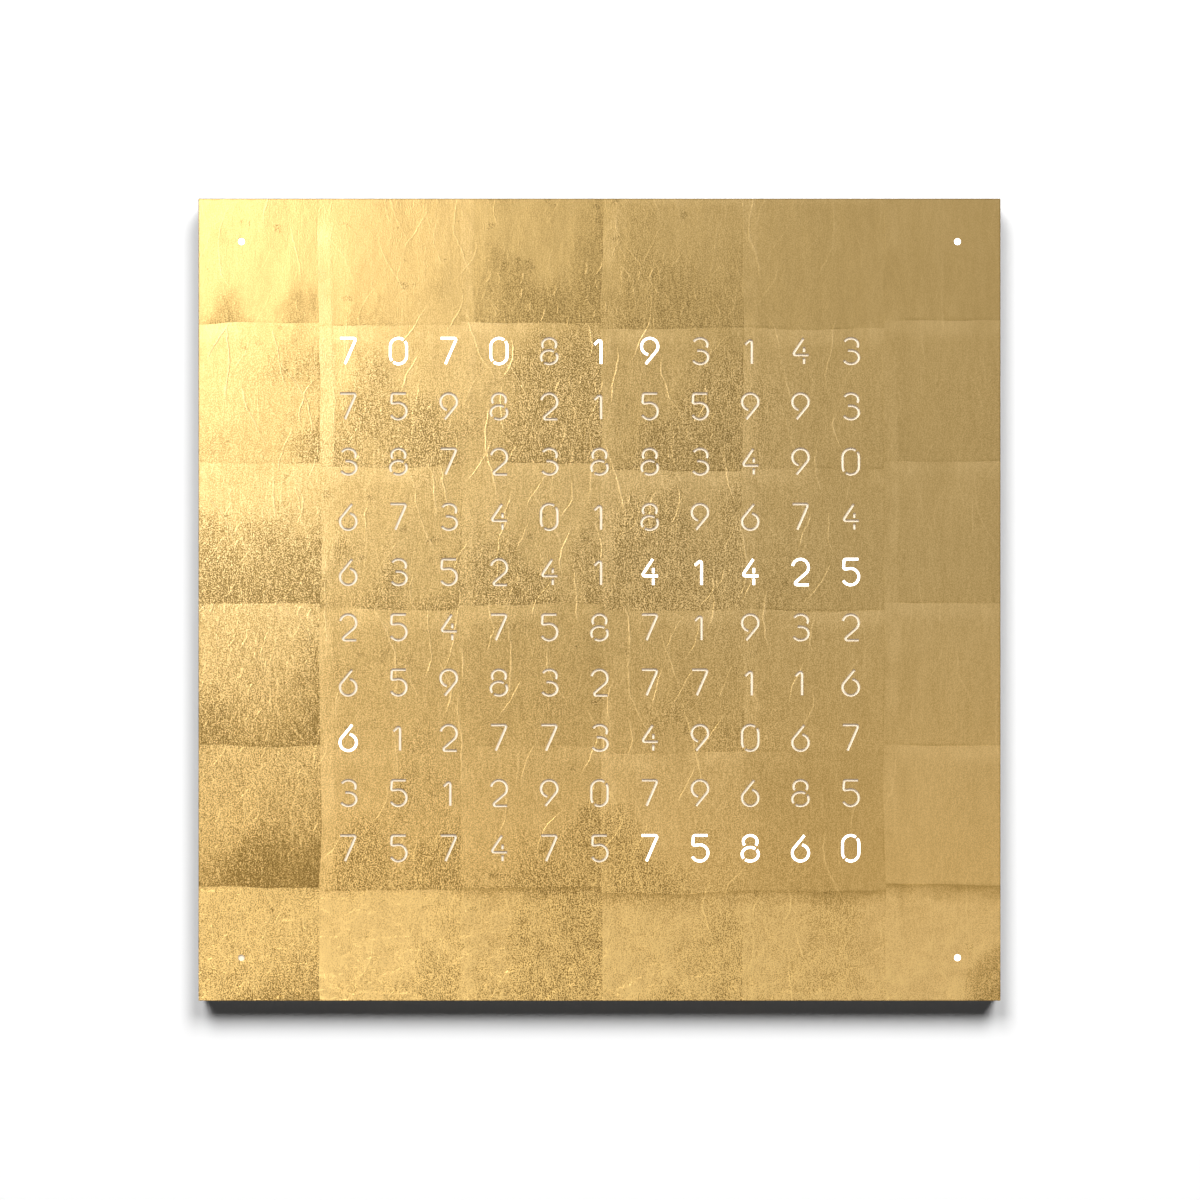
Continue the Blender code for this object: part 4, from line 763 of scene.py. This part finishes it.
# Ten noises, each with its scale, its detail and the stretch of its place.
noises = []
for number, (scale, detail, stretch) in enumerate([
        (1 / 60, 3.0, (1, 1, 1)), (1 / 60, 3.0, (1, 1, 1)), (1 / 35, 3.0, (1, 1, 1)),
        (1 / 25, 2.0, (1, 1, 1)), (1 / 32, 4.0, (1, 1, 1 / 1.6)), (1.8, 1.0, (1, 1, 1 / 1.2)),
        (1.1, 3.0, (1, 1, 1 / 7)), (0.20, 4.0, (1, 1, 1 / 6)), (1.0, 3.0, (1 / 16, 1, 1 / 9)),
        (1 / 8, 4.0, (1, 1, 1))], 1):
    stretched = add("VectorMath", place, stretch, operation="MULTIPLY")
    noises.append(add("TexNoise", stretched, W=number, Scale=scale, Detail=detail, noise_dimensions="4D"))
sway_x, sway_z, worn, frayed, blotch, speck, thread, streak, crumple, spot = noises

# Places on the face in leaves, u to the right and v down, from the first whole one. The seams sway as hands
# lay them, and each column starts at its own height.
SMOOTH = {"interpolation_type": "SMOOTHSTEP"}
LEAF = 79.2
SEAM_X, SEAM_Z = -157.0, 154.0
SWAY, COLUMN_STEP = 7.0, 5.0
first_x, first_z = SEAM_X + SWAY / 2, SEAM_Z + (SWAY + COLUMN_STEP) / 2
true_x, _, true_z = add("SeparateXYZ", place).node.outputs
u = add("Math", sway_x, SWAY, true_x, operation="MULTIPLY_ADD")
u = add("MapRange", u, first_x, first_x + LEAF, clamp=False)
in_u = add("Math", u, operation="FRACT")
across = add("Math", u, operation="FLOOR")
column_own = add("TexWhiteNoise", across, noise_dimensions="1D")
v = add("Math", sway_z, SWAY, true_z, operation="MULTIPLY_ADD")
v = add("Math", column_own, COLUMN_STEP, v, operation="MULTIPLY_ADD")
v = add("MapRange", v, first_z, first_z - LEAF, clamp=False)
in_v = add("Math", v, operation="FRACT")
down = add("Math", v, operation="FLOOR")
own = add("TexWhiteNoise", add("CombineXYZ", across, down), noise_dimensions="3D")
_, own_lean, own_fall = add("SeparateXYZ", own.node.outputs["Color"]).node.outputs

# Each leaf laps the one above and the one at its left by 7 mm or more. The lap shows as a paler band where it
# isn't rubbed off.
worn = add("MapRange", worn, 0.36, 0.62, **SMOOTH)
lap_u = add("MapRange", in_u, 0.085, 0.11, 1.0, 0.0)
strong = add("MapRange", true_x, -145.0, -130.0, 0.8, 0.45)
lap_u = add("Math", lap_u, strong, operation="MULTIPLY")
lap_v = add("MapRange", in_v, 0.05, 0.16, 0.55, 0.0, **SMOOTH)
lap = add("Math", lap_u, lap_v, operation="MAXIMUM")
lap = add("Math", lap, worn, operation="MULTIPLY")
rim = add("MapRange", in_u, 0.985, 1.0)
rim = add("Math", rim, add("MapRange", in_v, 0.975, 1.0), operation="MAXIMUM")
rim = add("Math", rim, add("MapRange", frayed, 0.42, 0.60), operation="MULTIPLY")

# Rough, grainy patches grow to each leaf's foot and right, most at the left; their darkening is painted
# shade.
fall = add("MapRange", own_fall, To_Min=0.10, To_Max=0.38)
lean = add("MapRange", own_lean, To_Min=-0.06, To_Max=0.30)
drift = add("Math", in_v, fall, blotch, operation="MULTIPLY_ADD")
drift = add("Math", in_u, lean, drift, operation="MULTIPLY_ADD")
rough_patch_and_shade = add("MapRange", drift, 0.62, 0.90, **SMOOTH)
leftward = add("MapRange", true_x, -10.0, 150.0, 1.0, 0.12, **SMOOTH)
lowest = add("MapRange", true_z, -158.0, -170.0, 0.0, 0.6)
leftward = add("Math", leftward, lowest, operation="MAXIMUM")
rough_patch_and_shade = add("Math", rough_patch_and_shade, leftward, operation="MULTIPLY")
rough_patch_and_shade = add("Math", rough_patch_and_shade, add("Math", 1.0, lap, operation="SUBTRACT"), operation="MULTIPLY")
# The feet of the first column's leaves are painted darker still: painted shade.
first = add("Math", u, 0.0, operation="LESS_THAN")
painted_foot_shade = add("Math", in_u, 0.45, in_v, operation="MULTIPLY_ADD")
painted_foot_shade = add("Math", blotch, 1.0, painted_foot_shade, operation="MULTIPLY_ADD")
painted_foot_shade = add("MapRange", painted_foot_shade, 1.0, 1.9, **SMOOTH)
painted_foot_shade = add("Math", painted_foot_shade, add("MapRange", true_z, 60.0, -140.0), operation="MULTIPLY")
painted_foot_shade = add("Math", painted_foot_shade, first, operation="MULTIPLY")
# The bottom right corner is rougher and grainier, and painted darker as shade.
corner = add("Math", true_x, true_z, operation="SUBTRACT")
corner = add("Math", blotch, 44.0, corner, operation="MULTIPLY_ADD")
corner = add("MapRange", corner, 434.0, 466.0, **SMOOTH)

# Grain of 0.5 mm and threads of 1 x 7 mm, with creases where the leaf gathered as it was laid.
speck = add("MapRange", speck, 0.34, 0.66, -1.0, 1.0, **SMOOTH)
thread = add("MapRange", thread, 0.34, 0.66, -1.0, 1.0, **SMOOTH)
grain = add("Math", thread, 0.26, speck, operation="MULTIPLY_ADD")


def creases(seed, tilt, wide, long, width, bare):
    """Single bowed strokes in a grid of cells, wide by long mm: one to a cell, thinning out to both ends.

    A stroke runs up through its cell. Its place, lean, bow and strength are the cell's own random numbers,
    and the bare share of the cells has none. The grid moves by the tilt in -X as it rises, and sways.
    """
    sway = add("TexNoise", place, W=seed, Scale=1 / 13, Detail=2.0, noise_dimensions="4D")
    level = add("Math", sway, 6.0, true_x, operation="MULTIPLY_ADD")
    level = add("Math", true_z, tilt, level, operation="MULTIPLY_ADD")
    level = add("Math", level, wide, operation="DIVIDE")
    cell_x = add("Math", level, operation="FLOOR")
    in_x = add("Math", level, operation="FRACT")
    shift = add("TexWhiteNoise", add("CombineXYZ", cell_x, seed), noise_dimensions="2D")
    level = add("Math", true_z, 1 / long, shift, operation="MULTIPLY_ADD")
    cell_z = add("Math", level, operation="FLOOR")
    in_z = add("Math", add("Math", level, operation="FRACT"), 0.5, operation="SUBTRACT")
    dice = add("TexWhiteNoise", add("CombineXYZ", cell_x, cell_z, seed), out="Color")
    strength, lean, bow = add("SeparateXYZ", dice).node.outputs
    middle = add("Math", add("Math", strength, 17.0, operation="MULTIPLY"), operation="FRACT")
    middle = add("MapRange", middle, To_Min=0.3, To_Max=0.7)
    lean = add("MapRange", lean, To_Min=-0.6, To_Max=0.6)
    bow = add("MapRange", bow, To_Min=-1.2, To_Max=1.2)
    squared = add("Math", in_z, in_z, operation="MULTIPLY")
    middle = add("Math", lean, in_z, middle, operation="MULTIPLY_ADD")
    middle = add("Math", bow, squared, middle, operation="MULTIPLY_ADD")
    off = add("Math", add("Math", in_x, middle, operation="SUBTRACT"), operation="ABSOLUTE")
    line = add("MapRange", off, 0.0, width / wide, 1.0, 0.0, **SMOOTH)
    line = add("Math", line, add("MapRange", squared, 0.04, 0.2, 1.0, 0.0), operation="MULTIPLY")
    return add("Math", line, add("MapRange", strength, bare, 1.0), operation="MULTIPLY")


# The creases give relief to the bump, and the tone paints them brighter: a painted highlight.
crease_and_highlight = creases(11.0, 0.12, 34.0, 60.0, 0.8, 0.3)
for seed, tilt, wide, long, width in ((12.0, -0.30, 19.0, 28.0, 0.7), (13.0, 0.25, 26.0, 40.0, 0.8)):
    crease_and_highlight = add("Math", crease_and_highlight, creases(seed, tilt, wide, long, width, 0.4), operation="MAXIMUM")
smoother = add("MapRange", true_x, 90.0, 170.0, 1.0, 0.35, **SMOOTH)
fainter = add("MapRange", true_z, 150.0, 162.0, 1.0, 0.4)
for share in (smoother, fainter):
    crease_and_highlight = add("Math", crease_and_highlight, share, operation="MULTIPLY")
curl = add("Math", first, add("MapRange", true_z, 90.0, 0.0), operation="MULTIPLY")
curl = add("Math", curl, add("Math", rough_patch_and_shade, 0.6, operation="MULTIPLY"), operation="MAXIMUM")
small = creases(14.0, -0.15, 7.0, 9.0, 0.9, 0.3)
small = add("Math", small, creases(15.0, 0.7, 9.0, 15.0, 0.8, 0.4), operation="MAXIMUM")
curl = add("Math", small, add("Math", curl, 1.6, operation="MULTIPLY"), operation="MULTIPLY")
crease_and_highlight = add("Math", crease_and_highlight, curl, operation="MAXIMUM")

# The lower leaves and bottom strip get painted highlights, under one dark seam; the sheet's edge gets painted
# shade.
# The lower leaves get a painted highlight, strongest at the left, and turn redder towards the bottom.
painted_low_sheen = add("MapRange", true_z, -20.0, -165.0, **SMOOTH)
warm = add("MapRange", true_z, 20.0, -150.0)
painted_low_sheen = add("Math", painted_low_sheen, add("MapRange", true_x, -60.0, 120.0, 1.0, 0.45), operation="MULTIPLY")
# The bottom strip of leaves and the lowest edge get a painted highlight and a coarser grain.
bottom_sheen_and_grain = add("MapRange", v, 4.0, 4.03, 0.0, 0.6)
bottom_sheen_and_grain = add("Math", bottom_sheen_and_grain, add("MapRange", true_z, -185.0, -222.0, 0.0, 0.4), operation="ADD")
seam = add("Math", add("MapRange", v, 3.997, 4.0), add("MapRange", v, 4.02, 4.13, 1.0, 0.0),
           operation="MULTIPLY")
seam = add("Math", seam, add("MapRange", true_x, -82.0, -78.0, 0.35, 1.0), operation="MULTIPLY")
crumple = add("MapRange", crumple, 0.36, 0.64, -1.0, 1.0, **SMOOTH)
crumple = add("Math", crumple, bottom_sheen_and_grain, operation="MULTIPLY")
spot = add("MapRange", spot, 0.64, 0.70)
spot = add("Math", spot, add("MapRange", grain, -0.6, 0.4, 1.0, 0.0), operation="MULTIPLY")
spot = add("Math", spot, leftward, operation="MULTIPLY")
right = add("MapRange", true_x, 150.0, 180.0)
# The sheet's very edge is painted darker: a thin painted shade along it.
from_middle = add("Math", add("Math", true_x, operation="ABSOLUTE"),
                  add("Math", true_z, operation="ABSOLUTE"), operation="MAXIMUM")
painted_edge_shade = add("MapRange", from_middle, 224.2, 224.8)

# Painted highlights in the tone: the creases, the lower leaves and the bottom strip.
# Painted shade in the tone: the rough patches, the leaves' feet, the bottom right corner and the sheet's
# edge.
tone = add("MapRange", own, To_Min=0.31, To_Max=0.43)
for value, share in ((lap, 0.16), (rim, -0.11), (rough_patch_and_shade, -0.23), (painted_foot_shade, -0.56), (corner, -0.26),
                     (crease_and_highlight, 0.30), (painted_low_sheen, 0.21), (bottom_sheen_and_grain, 0.20), (seam, -0.30), (right, 0.06),
                     (painted_edge_shade, -0.30), (blotch, 0.10), (streak, 0.14), (crumple, 0.08), (spot, -0.34)):
    tone = add("Math", value, share, tone, operation="MULTIPLY_ADD")
left_foot = add("Math", first, add("MapRange", true_z, 60.0, -60.0), operation="MULTIPLY")
rough_share = 0.21
for value, share in ((rough_patch_and_shade, 0.36), (corner, 0.36), (left_foot, 0.22), (bottom_sheen_and_grain, 0.16)):
    rough_share = add("Math", value, share, rough_share, operation="MULTIPLY_ADD")
to_corner = add("Math", true_x, -0.6, true_z, operation="MULTIPLY_ADD")
for value, start, stop, there in ((true_x, 60.0, 190.0, 0.42), (true_z, 120.0, 165.0, 0.50),
                                  (to_corner, 160.0, 290.0, 0.68)):
    calmer = add("MapRange", value, start, stop, 1.0, there, **SMOOTH)
    rough_share = add("Math", rough_share, calmer, operation="MULTIPLY")
tone = add("Math", grain, rough_share, tone, operation="MULTIPLY_ADD")
gold = add("ValToRGB", tone)
colours = gold.node.color_ramp.elements
colours[0].color = linear("#866e3f")
colours[1].color = linear("#ffd996")
colours.new(0.45).color = linear("#c5a568")
colours.new(0.93).color = linear("#fbd99b")
warmer = add("Mix", warm, gold, (1.06, 0.98, 0.80, 1.0), blend_type="MULTIPLY")
gloss = add("MapRange", rough_patch_and_shade, To_Min=0.37, To_Max=0.43)
relief = 0.0
for value, share in ((grain, 0.10), (crease_and_highlight, 0.7), (lap, 0.4), (blotch, 5.0), (crumple, 1.6)):
    relief = add("Math", value, share, relief, operation="MULTIPLY_ADD")
bump = add("Bump", Strength=0.8, Distance=0.15 * MM, Height=relief)
join(shader, Base_Color=warmer, Roughness=gloss, Normal=bump)

raw_steel, add, shader, place = new_finish("laser-cut steel", "#a9a49c", 0.42, 1.0)
rolled = add("VectorMath", place, (0.06, 1.0, 2.5), operation="MULTIPLY")
streaks = add("TexNoise", rolled, Scale=1.0, Detail=4.0)
join(shader, Roughness=add("MapRange", streaks, To_Min=0.34, To_Max=0.5))
# The steel shows at the walls of the cuts and at the back. The leaf goes on down the sheet's own four sides.
wall_count = sum(map(len, cuts)) + len(square)
face_finish = np.zeros(len(faces), dtype=int)
cap_count = (len(faces) - 3 * wall_count) // 2
face_finish[wall_count:3 * wall_count] = 1
face_finish[wall_count:wall_count + len(square)] = 0
face_finish[3 * wall_count + cap_count:] = 1
add_piece("gold_leaf_face", points, faces, "front_cover", [leaf, raw_steel], "front_cover",
          face_finish)

# Wall and floor
# A plain white wall behind the clock and a pale floor far below.
# Both are seen only from the side that faces the room.


def backdrop(name, colour, corners):
    """A flat stage whose back is clear, so that the clock can be looked at from behind or from below."""
    finish, add, shader, place = new_finish(name, colour, 0.9)
    shader.inputs["Specular IOR Level"].default_value = 0.0
    cloud = add("TexNoise", place, Scale=0.002)
    join(shader, Base_Color=add("Mix", cloud, colour, "#ffffff"))
    behind = add("NewGeometry", out="Backfacing")
    shown = add("MixShader", behind, shader.outputs[0], add("BsdfTransparent"))
    join(finish.node_tree.nodes["Material Output"], Surface=shown)
    mesh = bpy.data.meshes.new(name)
    mesh.from_pydata(corners, [], [(0, 1, 2, 3)])
    mesh.materials.append(finish)
    stage = bpy.data.objects.new(name, mesh)
    bpy.context.scene.collection.objects.link(stage)
    stage.visible_shadow = stage.visible_diffuse = stage.visible_glossy = False


WALL_LEVEL = 0.3 * MM
FLOOR_LEVEL = -1.3
backdrop("plain wall", "#ffffff", [(-4, WALL_LEVEL, FLOOR_LEVEL), (4, WALL_LEVEL, FLOOR_LEVEL),
                                   (4, WALL_LEVEL, 3), (-4, WALL_LEVEL, 3)])
backdrop("plain floor", "#ececea", [(-4, -5, FLOOR_LEVEL), (4, -5, FLOOR_LEVEL), (4, 5, FLOOR_LEVEL),
                                    (-4, 5, FLOOR_LEVEL)])

# Light
# Two large soft boxes above and in front, 34 degrees up, give the soft shadow below and beside the clock.
# Two narrow ones at the left and below only glint on the leaf. Four behind the wall's plane light the back.


def soft_box(name, at, size, power, aim=(0, 0, 0)):
    """An elliptical soft box that faces the clock. Place and size are in metres, its power is in watts."""
    light = bpy.data.lights.new(name, "AREA")
    light.shape = "ELLIPSE"
    light.size, light.size_y = size
    light.energy = power
    box = bpy.data.objects.new(name, light)
    box.location = at
    box.rotation_mode = "QUATERNION"
    box.rotation_quaternion = (Vector(aim) - Vector(at)).to_track_quat("-Z", "Y")
    box.visible_camera = False
    bpy.context.scene.collection.objects.link(box)
    return box


for side, at_x in (("left", -2.05), ("right", 2.15)):
    soft_box(f"high soft box {side}", (at_x, -6.71, 4.68), (3.3, 4.4), 481).visible_glossy = False
soft_box("left glint", (-0.33, -0.80, 0.31), (0.06, 0.55), 2.4, (-0.1, 0, 0.1)).visible_diffuse = False
soft_box("low glint", (-0.34, -0.80, -0.50), (0.40, 0.06), 0.55, (-0.15, 0, -0.2)).visible_diffuse = False
for side, at_x in (("right", 1.8), ("left", -1.8)):
    soft_box(f"back soft box {side}", (at_x, 2.4, 1.2), (2.6, 2.6), 110)
    soft_box(f"back glint {side}", (at_x, 2.4, -0.9), (1.8, 1.8), 14).visible_diffuse = False

world = bpy.data.worlds.new("pale room")
bpy.context.scene.world = world
world.use_nodes = True
add = partial(add_node, world.node_tree)
background = world.node_tree.nodes["Background"]
rays = add("LightPath").node.outputs
ROOM_LIGHT = 0.04
ROOM_GLINT = 0.66
glint = add("Math", rays["Is Glossy Ray"], rays["Is Transmission Ray"], operation="MAXIMUM")
strength = add("MapRange", glint, To_Min=ROOM_LIGHT, To_Max=ROOM_GLINT)
strength = add("Math", strength, rays["Is Camera Ray"], operation="MAXIMUM")
background.inputs["Color"].default_value = (1, 1, 1, 1)
join(background, Strength=strength)
